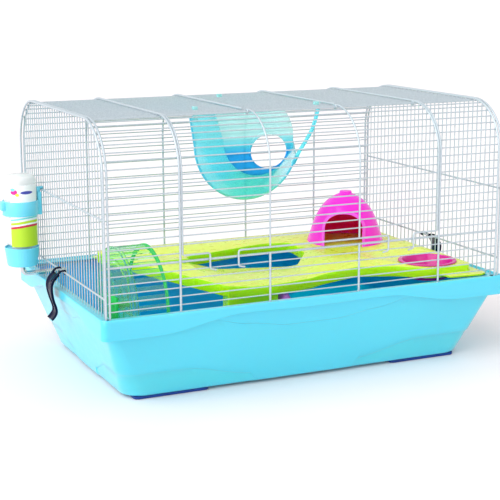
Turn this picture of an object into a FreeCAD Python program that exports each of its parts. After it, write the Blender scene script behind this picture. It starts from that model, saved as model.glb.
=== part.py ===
import FreeCAD, Part
import math
import os
import Sketcher

# Hamster cage, millimetres, +Z up. The cage stands on Z = 0, and its own centre is the middle of
# the tray. Every sub-part is drawn about that centre and then moved along X by origin_offset_x,
# which puts the origin under the middle of the whole outline, drinking bottle included.

DIMENSIONS = [
    ("origin_offset_x", 20.2, "moves every sub-part, so the outline is centred on the origin"),
    ("wire_half_depth", 188.0, "centre of the hoops' legs, from the middle, front and back"),
    ("end_hoop_x", 288.5, "first and last hoop"),
    ("side_hoop_x", 193.0, "hoops beside the front door"),
    ("middle_hoop_x", 70.0, "hoops behind the front door"),
    ("end_frame_x", 293.5, "arched frame of the end panels"),
    ("upright_x", 291.0, "upright wires of the end panels"),
    ("roof_z", 368.0, "centre of the hoops along the roof"),
    ("corner_radius", 68.0, "bend of the hoops between a wall and the roof"),
    ("foot_z", 120.0, "ledge that the wire top stands on"),
    ("sill_z", 186.0, "thick bar under the front door"),
    ("wire_pitch", 11.2, "spacing of the thin wires"),
    ("hoop_wire", 1.5, "radius of the hoop wire"),
    ("frame_wire", 1.25, "radius of the door frame's wire"),
    ("thin_wire", 0.85, "radius of the long thin wires"),
    ("upright_wire", 0.8, "radius of the upright wires"),
    ("low_bar_z", 146.6, "lower cross bar of the end panels"),
    ("middle_bar_z", 246.6, "middle cross bar of the end panels"),
    ("door_bottom_z", 194.6, "bottom wire of the front door"),
    ("door_side_x", 189.8, "side wires of the front door"),
    ("door_rib_x", 66.6, "curved ribs of the front door"),
    ("running_gap", 0.05, "radial gap of a running fit"),
    ("rim_z", 122.0, "top of the tray's rim"),
    ("rim_length", 602.0, "tray rim, outside"),
    ("rim_depth", 390.0, "tray rim, outside"),
    ("rim_corner", 9.0, "corner radius of the rim"),
    ("floor_corner", 30.0, "corner radius of the tray at its floor"),
    ("tray_top_length", 598.0, "tray wall at the rim, outside"),
    ("tray_top_depth", 386.0, "tray wall at the rim, outside"),
    ("tray_floor_length", 518.0, "tray wall at the floor, outside"),
    ("tray_floor_depth", 314.0, "tray wall at the floor, outside"),
    ("tray_floor_z", 4.0, "underside of the tray"),
    ("tray_wall", 2.5, "thickness of the tray's plastic"),
    ("band_drop", 27.5, "height of the rim's outer band at the corners"),
    ("band_thin", 11.0, "height of the rim's outer band in the middle"),
    ("foot_length", 106.0, "rubber foot strip"),
    ("foot_width", 26.0, "rubber foot strip"),
    ("deck_z", 132.0, "top of the activity deck"),
    ("deck_low_z", 122.0, "top of the deck's low middle"),
    ("deck_skin", 3.0, "thickness of the deck's top"),
    ("deck_skirt", 15.0, "height of the deck's turned-down edge"),
    ("bowl_x", 228.5, "food bowl centre"),
    ("bowl_y", -104.5, "food bowl centre"),
    ("bowl_hole_radius", 39.2, "hole in the deck for the bowl"),
    ("bowl_rim_radius", 42.5, "food bowl flange"),
    ("house_x", 193.0, "house centre"),
    ("house_y", 80.0, "house centre"),
    ("house_radius", 60.0, "house at its foot, outside"),
    ("house_height", 75.0, "house dome above the deck"),
    ("wheel_radius", 79.0, "exercise wheel, outside"),
    ("wheel_left_x", -248.0, "closed side of the exercise wheel"),
    ("wheel_width", 48.0, "exercise wheel along its axle"),
    ("wheel_y", -89.0, "exercise wheel centre"),
    ("wheel_z", 113.0, "exercise wheel centre"),
    ("axle_radius", 4.0, "wheel axle"),
    ("bottle_x", -323.5, "drinking bottle axis"),
    ("bottle_y", 89.6, "drinking bottle axis, in line with a gap between upright wires"),
    ("bottle_radius", 22.8, "drinking bottle"),
    ("bottle_top_z", 270.0, "drinking bottle, upper end"),
    ("cap_top_z", 167.0, "bottle cap, upper edge"),
    ("cap_bottom_z", 140.0, "bottle cap, lower edge"),
    ("tube_radius", 3.5, "drinking tube"),
    ("nest_front_y", -93.0, "front rim of the hanging nest"),
    ("nest_back_y", 85.0, "back plate of the hanging nest"),
    ("nest_skin", 2.0, "thickness of the hanging nest"),
    ("clip_width", 27.0, "closing clip"),
]

doc = FreeCAD.newDocument("hamster_cage")
sheet = doc.addObject("Spreadsheet::Sheet", "dims")
for row, (alias, value, note) in enumerate(DIMENSIONS, start=1):
    sheet.set("A%d" % row, note)
    sheet.set("B%d" % row, str(value))
    sheet.setAlias("B%d" % row, alias)
doc.recompute()

V = FreeCAD.Vector
SUB_PARTS = []


def dim(alias):
    return float(sheet.get(alias))


# ---------------------------------------------------------------- helpers

def keep(obj, name):
    """Register a sub-part: its label names its file, and it takes the common shift along X."""
    obj.Label = name
    obj.setExpression("Placement.Base.x", "dims.origin_offset_x")
    SUB_PARTS.append(obj)
    return obj


def new_body(name):
    return keep(doc.addObject("PartDesign::Body", name), name)


def add_sketch(body, name, plane, geometry, level=None):
    """A sketch on one of the body's own origin planes; level is an expression for its offset."""
    sketch = body.newObject("Sketcher::SketchObject", name)
    origin_plane = [f for f in body.Origin.OriginFeatures if f.Role == plane][0]
    sketch.AttachmentSupport = [(origin_plane, "")]
    sketch.MapMode = "FlatFace"
    if level is not None:
        sketch.setExpression("AttachmentOffset.Base.z", level)
    for item in geometry:
        sketch.addGeometry(item, False)
    return sketch


def pad(body, name, sketch, length, both=False, back=False):
    feature = body.newObject("PartDesign::Pad", name)
    feature.Profile = sketch
    feature.setExpression("Length", length)
    if both:
        feature.Midplane = True
    feature.Reversed = back
    body.Tip = feature
    return feature


def pocket(body, name, sketch, length=None, both=False, back=False):
    feature = body.newObject("PartDesign::Pocket", name)
    feature.Profile = sketch
    if length is None:
        feature.Type = "ThroughAll"
    else:
        feature.setExpression("Length", length)
    if both:
        feature.Midplane = True
    feature.Reversed = back
    body.Tip = feature
    return feature


def revolve(body, name, sketch, axis="V_Axis"):
    feature = body.newObject("PartDesign::Revolution", name)
    feature.Profile = sketch
    feature.ReferenceAxis = (sketch, [axis])
    feature.Angle = 360.0
    body.Tip = feature
    return feature


def line(a, b):
    return Part.LineSegment(V(a[0], a[1], 0), V(b[0], b[1], 0))


def circle(x, y, radius):
    return Part.Circle(V(x, y, 0), V(0, 0, 1), radius)


def polygon(points, radius=0.0):
    """Closed outline through points; radius, one number or one a corner, rounds the corners."""
    count = len(points)
    radii = radius if isinstance(radius, (list, tuple)) else [radius] * count
    starts, ends, arcs = [], [], []
    for i in range(count):
        p = V(points[i][0], points[i][1], 0)
        before = V(points[i - 1][0], points[i - 1][1], 0) - p
        after = V(points[(i + 1) % count][0], points[(i + 1) % count][1], 0) - p
        before.normalize()
        after.normalize()
        if radii[i] <= 0:
            starts.append(p)
            ends.append(p)
            continue
        half = before.getAngle(after) / 2.0
        reach = radii[i] / math.tan(half)
        inward = before + after
        inward.normalize()
        centre = p + inward * (radii[i] / math.sin(half))
        middle = centre - inward * radii[i]
        starts.append(p + before * reach)
        ends.append(p + after * reach)
        arcs.append(Part.Arc(starts[i], middle, ends[i]))
    edges = list(arcs)
    for i in range(count):
        edges.append(Part.LineSegment(ends[i], starts[(i + 1) % count]))
    return edges


def rectangle(length, depth, radius=0.0, x=0.0, y=0.0):
    a, b = length / 2.0, depth / 2.0
    return polygon([(x - a, y - b), (x + a, y - b), (x + a, y + b), (x - a, y + b)], radius)


def inset_outline(points, step):
    """The same counter-clockwise outline moved inwards by step."""
    result = []
    count = len(points)
    for i in range(count):
        p0, p1, p2 = points[i - 1], points[i], points[(i + 1) % count]
        d1 = (p1[0] - p0[0], p1[1] - p0[1])
        d2 = (p2[0] - p1[0], p2[1] - p1[1])
        n1 = V(-d1[1], d1[0], 0)
        n2 = V(-d2[1], d2[0], 0)
        n1.normalize()
        n2.normalize()
        share = step / (1.0 + n1.dot(n2))
        result.append((p1[0] + (n1.x + n2.x) * share, p1[1] + (n1.y + n2.y) * share))
    return result


def straight_wire(name, radius, length, start, direction):
    """A straight wire as a cylinder; start holds an expression for each of x, y and z."""
    wire = doc.addObject("Part::Cylinder", name)
    wire.setExpression("Radius", radius)
    wire.setExpression("Height", length)
    turns = {"x": (V(0, 1, 0), 90), "y": (V(1, 0, 0), -90), "z": (V(0, 0, 1), 0)}
    wire.Placement = FreeCAD.Placement(V(), FreeCAD.Rotation(*turns[direction]))
    for axis, text in zip("xyz", start):
        wire.setExpression("Placement.Base." + axis, text)
    return wire


def group(name, members):
    """Separate wires that are made and fitted as one panel."""
    compound = doc.addObject("Part::Compound", name)
    compound.Links = members
    return keep(compound, name)


# ---------------------------------------------------------------- the wrap of the wire top

half_depth = dim("wire_half_depth")
roof_z = dim("roof_z")
bend = dim("corner_radius")
pitch = dim("wire_pitch")
sill_z = dim("sill_z")
bend_z = roof_z - bend
bend_arc = bend * math.pi / 2.0
roof_run = 2.0 * (half_depth - bend)


def wrap_point(distance, inset):
    """Place on the hoops' line, distance above the sill, moved inwards by inset."""
    run = distance
    if run <= bend_z - sill_z:
        return -half_depth + inset, sill_z + run
    run -= bend_z - sill_z
    if run <= bend_arc:
        turn = run / bend
        reach = bend - inset
        return -half_depth + bend - reach * math.cos(turn), bend_z + reach * math.sin(turn)
    run -= bend_arc
    if run <= roof_run:
        return -half_depth + bend + run, roof_z - inset
    run -= roof_run
    if run <= bend_arc:
        turn = run / bend
        reach = bend - inset
        return half_depth - bend + reach * math.sin(turn), bend_z + reach * math.cos(turn)
    run -= bend_arc
    return half_depth - inset, bend_z - run


def wrap_wires(prefix, first, last, radius, inset, left, length):
    """Thin wires along X, numbered by their place round the wrap; 0 is the sill."""
    wires = []
    for k in range(first, last + 1):
        y, z = wrap_point(k * pitch, inset)
        name = "%s_%s" % (prefix, ("%d" % k).replace("-", "m"))
        wires.append(straight_wire(name, radius, length, (left, "%.4f" % y, "%.4f" % z), "x"))
    return wires


HINGE_WIRE = 20          # place of the hinge wire, at the front edge of the roof
ROOF_LAST = 41           # last wire of the flat roof
BACK_LAST = 66           # lowest wire of the back wall
thin_inset = dim("hoop_wire") + dim("thin_wire")
full_left = "-dims.end_frame_x + dims.hoop_wire"
full_length = "2 * (dims.end_frame_x - dims.hoop_wire)"
thin_left = "-dims.end_hoop_x - dims.hoop_wire"
thin_length = "2 * (dims.end_hoop_x + dims.hoop_wire)"

group("front_lower_wires", wrap_wires("front_low", -5, -1, "dims.thin_wire", thin_inset,
                                      thin_left, thin_length))
group("roof_wires", wrap_wires("roof", HINGE_WIRE + 1, ROOF_LAST, "dims.thin_wire", thin_inset,
                               thin_left, thin_length))
group("back_wires", wrap_wires("back", ROOF_LAST + 1, BACK_LAST, "dims.thin_wire", thin_inset,
                               thin_left, thin_length))
side_gap = 1.2           # end of the side wires, past the centre of the hoop beside the door
side_length = "dims.end_hoop_x + dims.hoop_wire - dims.side_hoop_x + %.1f" % side_gap
group("front_left_wires", wrap_wires("front_l", 1, HINGE_WIRE - 1, "dims.thin_wire", thin_inset,
                                     thin_left, side_length))
group("front_right_wires", wrap_wires("front_r", 1, HINGE_WIRE - 1, "dims.thin_wire", thin_inset,
                                      "dims.side_hoop_x - %.1f" % side_gap, side_length))

hinge_y, hinge_z = wrap_point(HINGE_WIRE * pitch, 2.0 * dim("hoop_wire"))
group("door_hinge_wire", [straight_wire("hinge_rod", "dims.hoop_wire", thin_length,
                                        (thin_left, "%.4f" % hinge_y, "%.4f" % hinge_z), "x")])
group("door_sill_bar", [straight_wire("sill_rod", "dims.hoop_wire", thin_length,
                                      (thin_left, "-dims.wire_half_depth + 2 * dims.hoop_wire",
                                       "dims.sill_z"), "x")])


def pipe_body(name, x_level, wire_radius, path, start, normal_plane="XY_Plane"):
    """One bent wire: a circle swept along a path drawn in the YZ plane at x_level."""
    body = new_body(name)
    spine = add_sketch(body, name + "_path", "YZ_Plane", path, x_level)
    profile = body.newObject("Sketcher::SketchObject", name + "_section")
    origin_plane = [f for f in body.Origin.OriginFeatures if f.Role == normal_plane][0]
    profile.AttachmentSupport = [(origin_plane, "")]
    profile.MapMode = "FlatFace"
    profile.addGeometry(circle(0, 0, dim(wire_radius)), False)
    profile.addConstraint(radius_of(profile, wire_radius))
    profile.setExpression("Constraints.wire_radius", "dims." + wire_radius)
    if normal_plane == "XY_Plane":
        profile.setExpression("AttachmentOffset.Base.x", x_level)
        profile.setExpression("AttachmentOffset.Base.y", "%.4f" % start[0])
        profile.setExpression("AttachmentOffset.Base.z", "%.4f" % start[1])
    else:
        profile.setExpression("AttachmentOffset.Base.x", x_level)
        profile.setExpression("AttachmentOffset.Base.y", "%.4f" % start[1])
        profile.setExpression("AttachmentOffset.Base.z", "%.4f" % -start[0])
    pipe = body.newObject("PartDesign::AdditivePipe", name + "_pipe")
    pipe.Profile = profile
    pipe.Spine = (spine, ["Edge%d" % (i + 1) for i in range(len(path))])
    body.Tip = pipe
    return body


def radius_of(profile, wire_radius):
    constraint = Sketcher.Constraint("Radius", 0, dim(wire_radius))
    constraint.Name = "wire_radius"
    return constraint


def front_bend():
    a = math.cos(math.pi / 4.0) * bend
    return Part.Arc(V(-half_depth, bend_z, 0), V(-half_depth + bend - a, bend_z + a, 0),
                    V(-half_depth + bend, roof_z, 0))


def back_bend():
    a = math.cos(math.pi / 4.0) * bend
    return Part.Arc(V(half_depth - bend, roof_z, 0), V(half_depth - bend + a, bend_z + a, 0),
                    V(half_depth, bend_z, 0))


def arch_path(foot):
    return [line((-half_depth, foot), (-half_depth, bend_z)), front_bend(),
            line((-half_depth + bend, roof_z), (half_depth - bend, roof_z)), back_bend(),
            line((half_depth, bend_z), (half_depth, foot))]


foot_z = dim("foot_z")
for side, sign in (("left", "-"), ("right", "")):
    pipe_body("hoop_%s_end" % side, sign + "dims.end_hoop_x", "hoop_wire", arch_path(foot_z),
              (-half_depth, foot_z))
    pipe_body("hoop_%s_of_door" % side, sign + "dims.side_hoop_x", "hoop_wire",
              arch_path(foot_z), (-half_depth, foot_z))
    pipe_body("%s_end_frame" % side, sign + "dims.end_frame_x", "hoop_wire", arch_path(foot_z),
              (-half_depth, foot_z))
    rear_start = hinge_y + 9.3
    rear_path = [line((rear_start, roof_z), (half_depth - bend, roof_z)), back_bend(),
                 line((half_depth, bend_z), (half_depth, foot_z))]
    pipe_body("hoop_%s_rear" % side, sign + "dims.middle_hoop_x", "hoop_wire", rear_path,
              (rear_start, roof_z), "XZ_Plane")
    group("front_post_%s" % side,
          [straight_wire("post_rod_" + side, "dims.hoop_wire",
                         "dims.sill_z + dims.hoop_wire - dims.foot_z",
                         (sign + "dims.door_rib_x", "-dims.wire_half_depth", "dims.foot_z"),
                         "z")])


# ---------------------------------------------------------------- end panels

def roof_height(y):
    """Height of the hoops' line above a place across the cage."""
    beyond = abs(y) - (half_depth - bend)
    if beyond <= 0:
        return roof_z
    return bend_z + math.sqrt(bend * bend - beyond * beyond)


UPRIGHTS = 32            # upright wires of each end panel
for side, sign in (("left", "-"), ("right", "")):
    uprights = []
    for k in range(UPRIGHTS):
        y = (k - (UPRIGHTS - 1) / 2.0) * pitch
        reach = roof_height(y) - foot_z
        uprights.append(straight_wire("upright_%s_%d" % (side, k), "dims.upright_wire",
                                      "%.4f" % reach,
                                      (sign + "dims.upright_x", "%.4f" % y, "dims.foot_z"), "z"))
    group("%s_end_uprights" % side, uprights)
    bar_x = sign + "(dims.upright_x + dims.upright_wire + dims.frame_wire)"
    bar_start = "-dims.wire_half_depth + dims.hoop_wire"
    bar_length = "2 * (dims.wire_half_depth - dims.hoop_wire)"
    group("%s_end_bars" % side,
          [straight_wire("low_bar_" + side, "dims.frame_wire", bar_length,
                         (bar_x, bar_start, "dims.low_bar_z"), "y"),
           straight_wire("middle_bar_" + side, "dims.frame_wire", bar_length,
                         (bar_x, bar_start, "dims.middle_bar_z"), "y")])


# ---------------------------------------------------------------- front door

frame_wire = dim("frame_wire")
door_bottom = dim("door_bottom_z")
door_side = dim("door_side_x")
curl_major = dim("hoop_wire") + dim("running_gap") + frame_wire


def curled_wire(name, x_level, start):
    """A door wire that follows the wall and the bend, and curls round the hinge wire."""
    rise = [line((-half_depth, start), (-half_depth, bend_z)), front_bend()]
    body = pipe_body(name, x_level, "frame_wire", rise, (-half_depth, start))
    curl = body.newObject("PartDesign::AdditiveTorus", name + "_curl")
    curl.Radius1 = curl_major
    curl.setExpression("Radius1", "dims.hoop_wire + dims.running_gap + dims.frame_wire")
    curl.setExpression("Radius2", "dims.frame_wire")
    curl.AttachmentSupport = [([f for f in body.Origin.OriginFeatures
                                if f.Role == "YZ_Plane"][0], "")]
    curl.MapMode = "FlatFace"
    curl.setExpression("AttachmentOffset.Base.x", "%.4f" % hinge_y)
    curl.setExpression("AttachmentOffset.Base.y", "%.4f" % hinge_z)
    curl.setExpression("AttachmentOffset.Base.z", x_level)
    body.Tip = curl
    return body


for side, sign in (("left", "-"), ("right", "")):
    curled_wire("door_side_%s" % side, sign + "dims.door_side_x", door_bottom)
    curled_wire("door_rib_%s" % side, sign + "dims.door_rib_x", door_bottom + frame_wire)

door_wires = wrap_wires("door", 2, HINGE_WIRE - 1, "dims.thin_wire",
                        frame_wire + dim("thin_wire"), "-dims.door_side_x - 0.8",
                        "2 * (dims.door_side_x + 0.8)")
group("door_wires", door_wires)

# The bottom wire is open in two places, where its ends turn down as sprung latch hooks.
HOOK_OUTER, HOOK_INNER = 152.0, 112.0        # the two hooks of a latch, from the middle
HOOK_DROP = 21.0                             # from the bottom wire to the hooks' tips
hook_y = -half_depth - 0.4


def bent_rod(name, points, radius):
    """A rod through points, with a rounded bend at each, drawn in the XZ plane."""
    body = new_body(name)
    path = []
    last = V(points[0][0], points[0][1], 0)
    for i in range(1, len(points) - 1):
        p = V(points[i][0], points[i][1], 0)
        before = V(points[i - 1][0], points[i - 1][1], 0) - p
        after = V(points[i + 1][0], points[i + 1][1], 0) - p
        before.normalize()
        after.normalize()
        half = before.getAngle(after) / 2.0
        reach = radius / math.tan(half)
        inward = before + after
        inward.normalize()
        centre = p + inward * (radius / math.sin(half))
        first, second = p + before * reach, p + after * reach
        path.append(Part.LineSegment(last, first))
        path.append(Part.Arc(first, centre - inward * radius, second))
        last = second
    path.append(Part.LineSegment(last, V(points[-1][0], points[-1][1], 0)))
    spine = add_sketch(body, name + "_path", "XZ_Plane", path, "%.4f" % -hook_y)
    profile = add_sketch(body, name + "_section", "YZ_Plane",
                         [circle(hook_y, points[0][1], frame_wire)], "%.4f" % points[0][0])
    pipe = body.newObject("PartDesign::AdditivePipe", name + "_pipe")
    pipe.Profile = profile
    pipe.Spine = (spine, ["Edge%d" % (i + 1) for i in range(len(path))])
    body.Tip = pipe
    return body


hook_tip = door_bottom - HOOK_DROP
for side, way in (("left", -1.0), ("right", 1.0)):
    bent_rod("door_latch_%s_outer" % side,
             [(way * (door_side - frame_wire), door_bottom), (way * HOOK_OUTER, door_bottom),
              (way * HOOK_OUTER, hook_tip), (way * (HOOK_OUTER - 9.0), hook_tip - 2.0)], 3.2)
bent_rod("door_latch_inner",
         [(-HOOK_INNER + 9.0, hook_tip - 2.0), (-HOOK_INNER, hook_tip),
          (-HOOK_INNER, door_bottom), (HOOK_INNER, door_bottom), (HOOK_INNER, hook_tip),
          (HOOK_INNER - 9.0, hook_tip - 2.0)], 3.2)


# ---------------------------------------------------------------- tray and feet

def band_cut(half_length):
    """Region under the S-shaped lower edge of the rim's band, mirrored about the middle."""
    low = dim("rim_z") - dim("band_drop")
    high = dim("rim_z") - dim("band_thin")
    inner, outer = 0.30 * half_length, 0.80 * half_length
    edges = []
    for way in (-1.0, 1.0):
        poles = [V(way * outer, low, 0), V(way * (outer * 0.72 + inner * 0.28), low, 0),
                 V(way * (outer * 0.28 + inner * 0.72), high, 0), V(way * inner, high, 0)]
        curve = Part.BSplineCurve()
        curve.buildFromPoles(poles)
        edges.append(curve)
    edges.append(line((-inner, high), (inner, high)))
    below = low - 6.0
    edges.append(line((-outer, low), (-outer, below)))
    edges.append(line((-outer, below), (outer, below)))
    edges.append(line((outer, below), (outer, low)))
    return edges


def build_tray():
    body = new_body("base_tray")
    wall = dim("tray_wall")
    top_l, top_d = dim("tray_top_length"), dim("tray_top_depth")
    floor_l, floor_d = dim("tray_floor_length"), dim("tray_floor_depth")
    corner = dim("rim_corner")
    band = add_sketch(body, "tray_band_outline", "XY_Plane",
                      rectangle(dim("rim_length"), dim("rim_depth"), corner)
                      + rectangle(top_l - 2.0, top_d - 2.0, corner - 3.0), "dims.rim_z")
    pad(body, "tray_band", band, "dims.band_drop", back=True)
    front_cut = add_sketch(body, "tray_band_front_edge", "XZ_Plane", band_cut(top_l / 2.0))
    pocket(body, "tray_band_front", front_cut, both=True)
    side_cut = add_sketch(body, "tray_band_side_edge", "YZ_Plane", band_cut(top_d / 2.0))
    pocket(body, "tray_band_side", side_cut, both=True)
    floor_corner = dim("floor_corner")
    lofts = [("PartDesign::AdditiveLoft", "tray_shell", 0.0, corner - 2.0, "dims.rim_z",
              "dims.tray_floor_z"),
             ("PartDesign::SubtractiveLoft", "tray_hollow", 2.0 * wall, corner - 5.5,
              "dims.rim_z", "dims.tray_floor_z + dims.tray_wall")]
    for kind, name, less, top_corner, high, low in lofts:
        upper = add_sketch(body, name + "_top", "XY_Plane",
                           rectangle(top_l - less, top_d - less, top_corner), high)
        lower = add_sketch(body, name + "_floor", "XY_Plane",
                           rectangle(floor_l - less, floor_d - less,
                                     floor_corner - less / 2.0), low)
        loft = body.newObject(kind, name)
        loft.Profile = upper
        loft.Sections = [lower]
        loft.Ruled = True
        body.Tip = loft
    ledge = add_sketch(body, "tray_ledge_outline", "XY_Plane",
                       rectangle(top_l - 3.6, top_d - 3.6, corner - 3.6)
                       + rectangle(top_l - 36.0, top_d - 36.0, 3.0), "dims.foot_z")
    pad(body, "tray_ledge", ledge, "dims.tray_wall", back=True)
    return body


build_tray()

floor_l, floor_d = dim("tray_floor_length"), dim("tray_floor_depth")
foot_x = floor_l / 2.0 - 13.0 - dim("foot_length") / 2.0
foot_y = floor_d / 2.0 - 3.0 - dim("foot_width") / 2.0
for where, fx, fy in (("front_left", -foot_x, -foot_y), ("front_right", foot_x, -foot_y),
                      ("back_left", -foot_x, foot_y), ("back_right", foot_x, foot_y)):
    foot = new_body("foot_" + where)
    outline = add_sketch(foot, "foot_outline_" + where, "XY_Plane",
                         rectangle(dim("foot_length"), dim("foot_width"), 6.0, fx, fy))
    pad(foot, "foot_pad_" + where, outline, "dims.tray_floor_z")


# ---------------------------------------------------------------- activity deck

DECK_OUTLINE = [(-195.0, 172.0), (-145.0, 5.0), (-92.0, -104.0), (-12.0, -106.0), (60.0, -90.0),
                (115.0, -96.0), (168.0, -118.0), (206.0, -151.0), (276.0, -151.0), (276.0, 172.0)]
DECK_CORNERS = [14.0, 40.0, 12.0, 60.0, 70.0, 60.0, 60.0, 20.0, 12.0, 8.0]
WINDOW = [(-88.0, 70.0), (-50.0, 15.0), (60.0, -17.0), (97.0, 32.0), (106.0, 100.0),
          (60.0, 110.0)]
WINDOW_CORNERS = [10.0, 12.0, 8.0, 10.0, 12.0, 50.0]
STEP_Y = 60.0            # behind this line the deck is flat and high


def deck_profile(drop, low_end):
    """Section of the deck along X: down to a low middle and up again, with its underside."""
    high, low = dim("deck_z") - drop, dim("deck_low_z") - drop
    top = [(300.0, high), (115.0, high), (45.0, low), (-55.0, low), (-140.0, high),
           (-300.0, high)]
    if low_end is None:
        bottom = [(x, z - dim("deck_skirt") + drop) for x, z in reversed(top)]
    else:
        bottom = [(-300.0, low_end), (300.0, low_end)]
    return polygon(top + bottom)


def prism(name, plane_rotation, geometry, base, length):
    """An extruded outline used as a tool for the deck."""
    sketch = doc.addObject("Sketcher::SketchObject", name + "_outline")
    sketch.Placement = FreeCAD.Placement(base, plane_rotation)
    for item in geometry:
        sketch.addGeometry(item, False)
    tool = doc.addObject("Part::Extrusion", name)
    tool.Base = sketch
    tool.DirMode = "Normal"
    tool.LengthFwd = length
    tool.Solid = True
    return tool


def boolean(kind, name, base, tool):
    feature = doc.addObject("Part::" + kind, name)
    feature.Base = base
    feature.Tool = tool
    return feature


FLAT = FreeCAD.Rotation()
ACROSS = FreeCAD.Rotation(V(1, 0, 0), 90)          # sketch x to X, sketch y to Z, normal to -Y


def deck_layer(name, outline_step, drop, low_end):
    """The deck's block inside the outline moved in by outline_step, with its top lowered."""
    high = dim("deck_z") - drop
    bottom = dim("deck_z") - dim("deck_skirt") if low_end is None else low_end
    outline = inset_outline(DECK_OUTLINE, outline_step)
    corners = [max(r - outline_step, 1.0) for r in DECK_CORNERS]
    plan = prism(name + "_plan", FLAT, polygon(outline, corners), V(0, 0, 60.0), 100.0)
    slope = prism(name + "_slope", ACROSS, deck_profile(drop, low_end), V(0, STEP_Y, 0), 260.0)
    back = prism(name + "_back", FLAT, rectangle(600.0, 260.0, 0.0, 0.0, STEP_Y + 130.0),
                 V(0, 0, bottom), high - bottom)
    block = doc.addObject("Part::MultiFuse", name + "_block")
    block.Shapes = [slope, back]
    body = boolean("Common", name + "_body", block, plan)
    hole = prism(name + "_window", FLAT,
                 polygon(inset_outline(WINDOW, -outline_step),
                         [r + outline_step for r in WINDOW_CORNERS]), V(0, 0, 60.0), 100.0)
    return boolean("Cut", name, body, hole)


def build_deck():
    outer = deck_layer("deck_outer", 0.0, 0.0, None)
    inner = deck_layer("deck_inner", 2.5, dim("deck_skin"), 90.0)
    shell = boolean("Cut", "deck_shell", outer, inner)
    skin = 2.5
    foot = dim("foot_z")
    right_flange = prism("deck_right_flange", FLAT,
                         polygon([(222.0, -149.5), (224.0, -172.0), (274.0, -177.0),
                                  (286.0, -170.0), (286.0, 183.0), (274.5, 183.0),
                                  (274.5, -149.5)], [2.0, 6.0, 8.0, 6.0, 3.0, 1.0, 1.0]),
                         V(0, 0, foot), skin)
    back_flange = prism("deck_back_flange", FLAT,
                        polygon([(-190.0, 170.5), (275.0, 170.5), (275.0, 183.0),
                                 (-190.0, 183.0)], 2.0), V(0, 0, foot), skin)
    leg_x, leg_y, leg_w, leg_d = -52.0, -103.6, 76.0, 18.0
    a, b = leg_w / 2.0, leg_d
    channel = [(leg_x - a, leg_y), (leg_x + a, leg_y), (leg_x + a, leg_y + b),
               (leg_x + a - skin, leg_y + b), (leg_x + a - skin, leg_y + skin),
               (leg_x - a + skin, leg_y + skin), (leg_x - a + skin, leg_y + b),
               (leg_x - a, leg_y + b)]
    floor = dim("tray_floor_z") + dim("tray_wall")
    leg = prism("deck_front_wall", FLAT, polygon(channel), V(0, 0, floor),
                dim("deck_low_z") - 1.0 - floor)
    joined = doc.addObject("Part::MultiFuse", "deck_joined")
    joined.Shapes = [shell, right_flange, back_flange, leg]
    hole = doc.addObject("Part::Cylinder", "deck_bowl_hole")
    hole.setExpression("Radius", "dims.bowl_hole_radius")
    hole.Height = 60.0
    hole.setExpression("Placement.Base.x", "dims.bowl_x")
    hole.setExpression("Placement.Base.y", "dims.bowl_y")
    hole.Placement.Base.z = 95.0
    deck = boolean("Cut", "activity_deck", joined, hole)
    return keep(deck, "activity_deck")


build_deck()

LEG_X, LEG_Y = 3.0, -86.0            # coloured pillar under the low middle of the deck


def build_pillar():
    body = new_body("deck_pillar")
    floor = dim("tray_floor_z") + dim("tray_wall")
    top = dim("deck_low_z") - dim("deck_skin")
    cone_top = top - floor - 12.0
    profile = polygon([(0.0, 0.0), (16.0, 0.0), (16.0, 3.0), (12.0, 12.0), (11.0, cone_top - 13.0),
                       (4.0, cone_top), (4.0, top - floor), (0.0, top - floor)])
    sketch = add_sketch(body, "pillar_profile", "XZ_Plane", profile)
    revolve(body, "pillar_turned", sketch)
    body.Placement.Base = V(0, LEG_Y, floor)
    body.setExpression("Placement.Base.x", "dims.origin_offset_x + (%.1f)" % LEG_X)
    return body


build_pillar()


def turned_body(name, profile, x_text, y_text, z_text):
    """A round piece: a profile in (radius, height), turned about its own vertical axis."""
    body = new_body(name)
    sketch = add_sketch(body, name + "_profile", "XZ_Plane", profile)
    revolve(body, name + "_turned", sketch)
    body.setExpression("Placement.Base.x", "dims.origin_offset_x + (%s)" % x_text)
    body.setExpression("Placement.Base.y", y_text)
    body.setExpression("Placement.Base.z", z_text)
    return body


def build_bowl():
    rim = dim("bowl_rim_radius")
    outer = dim("bowl_hole_radius") - 0.8
    depth, skin = 24.0, 2.0
    profile = polygon([(0.0, -depth), (outer - 7.0, -depth), (outer, -2.0), (outer, 0.1),
                       (rim, 0.1), (rim, 2.0), (outer - skin, 2.0),
                       (outer - 7.0 - skin, -depth + skin), (0.0, -depth + skin)])
    turned_body("food_bowl", profile, "dims.bowl_x", "dims.bowl_y", "dims.deck_z")


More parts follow.
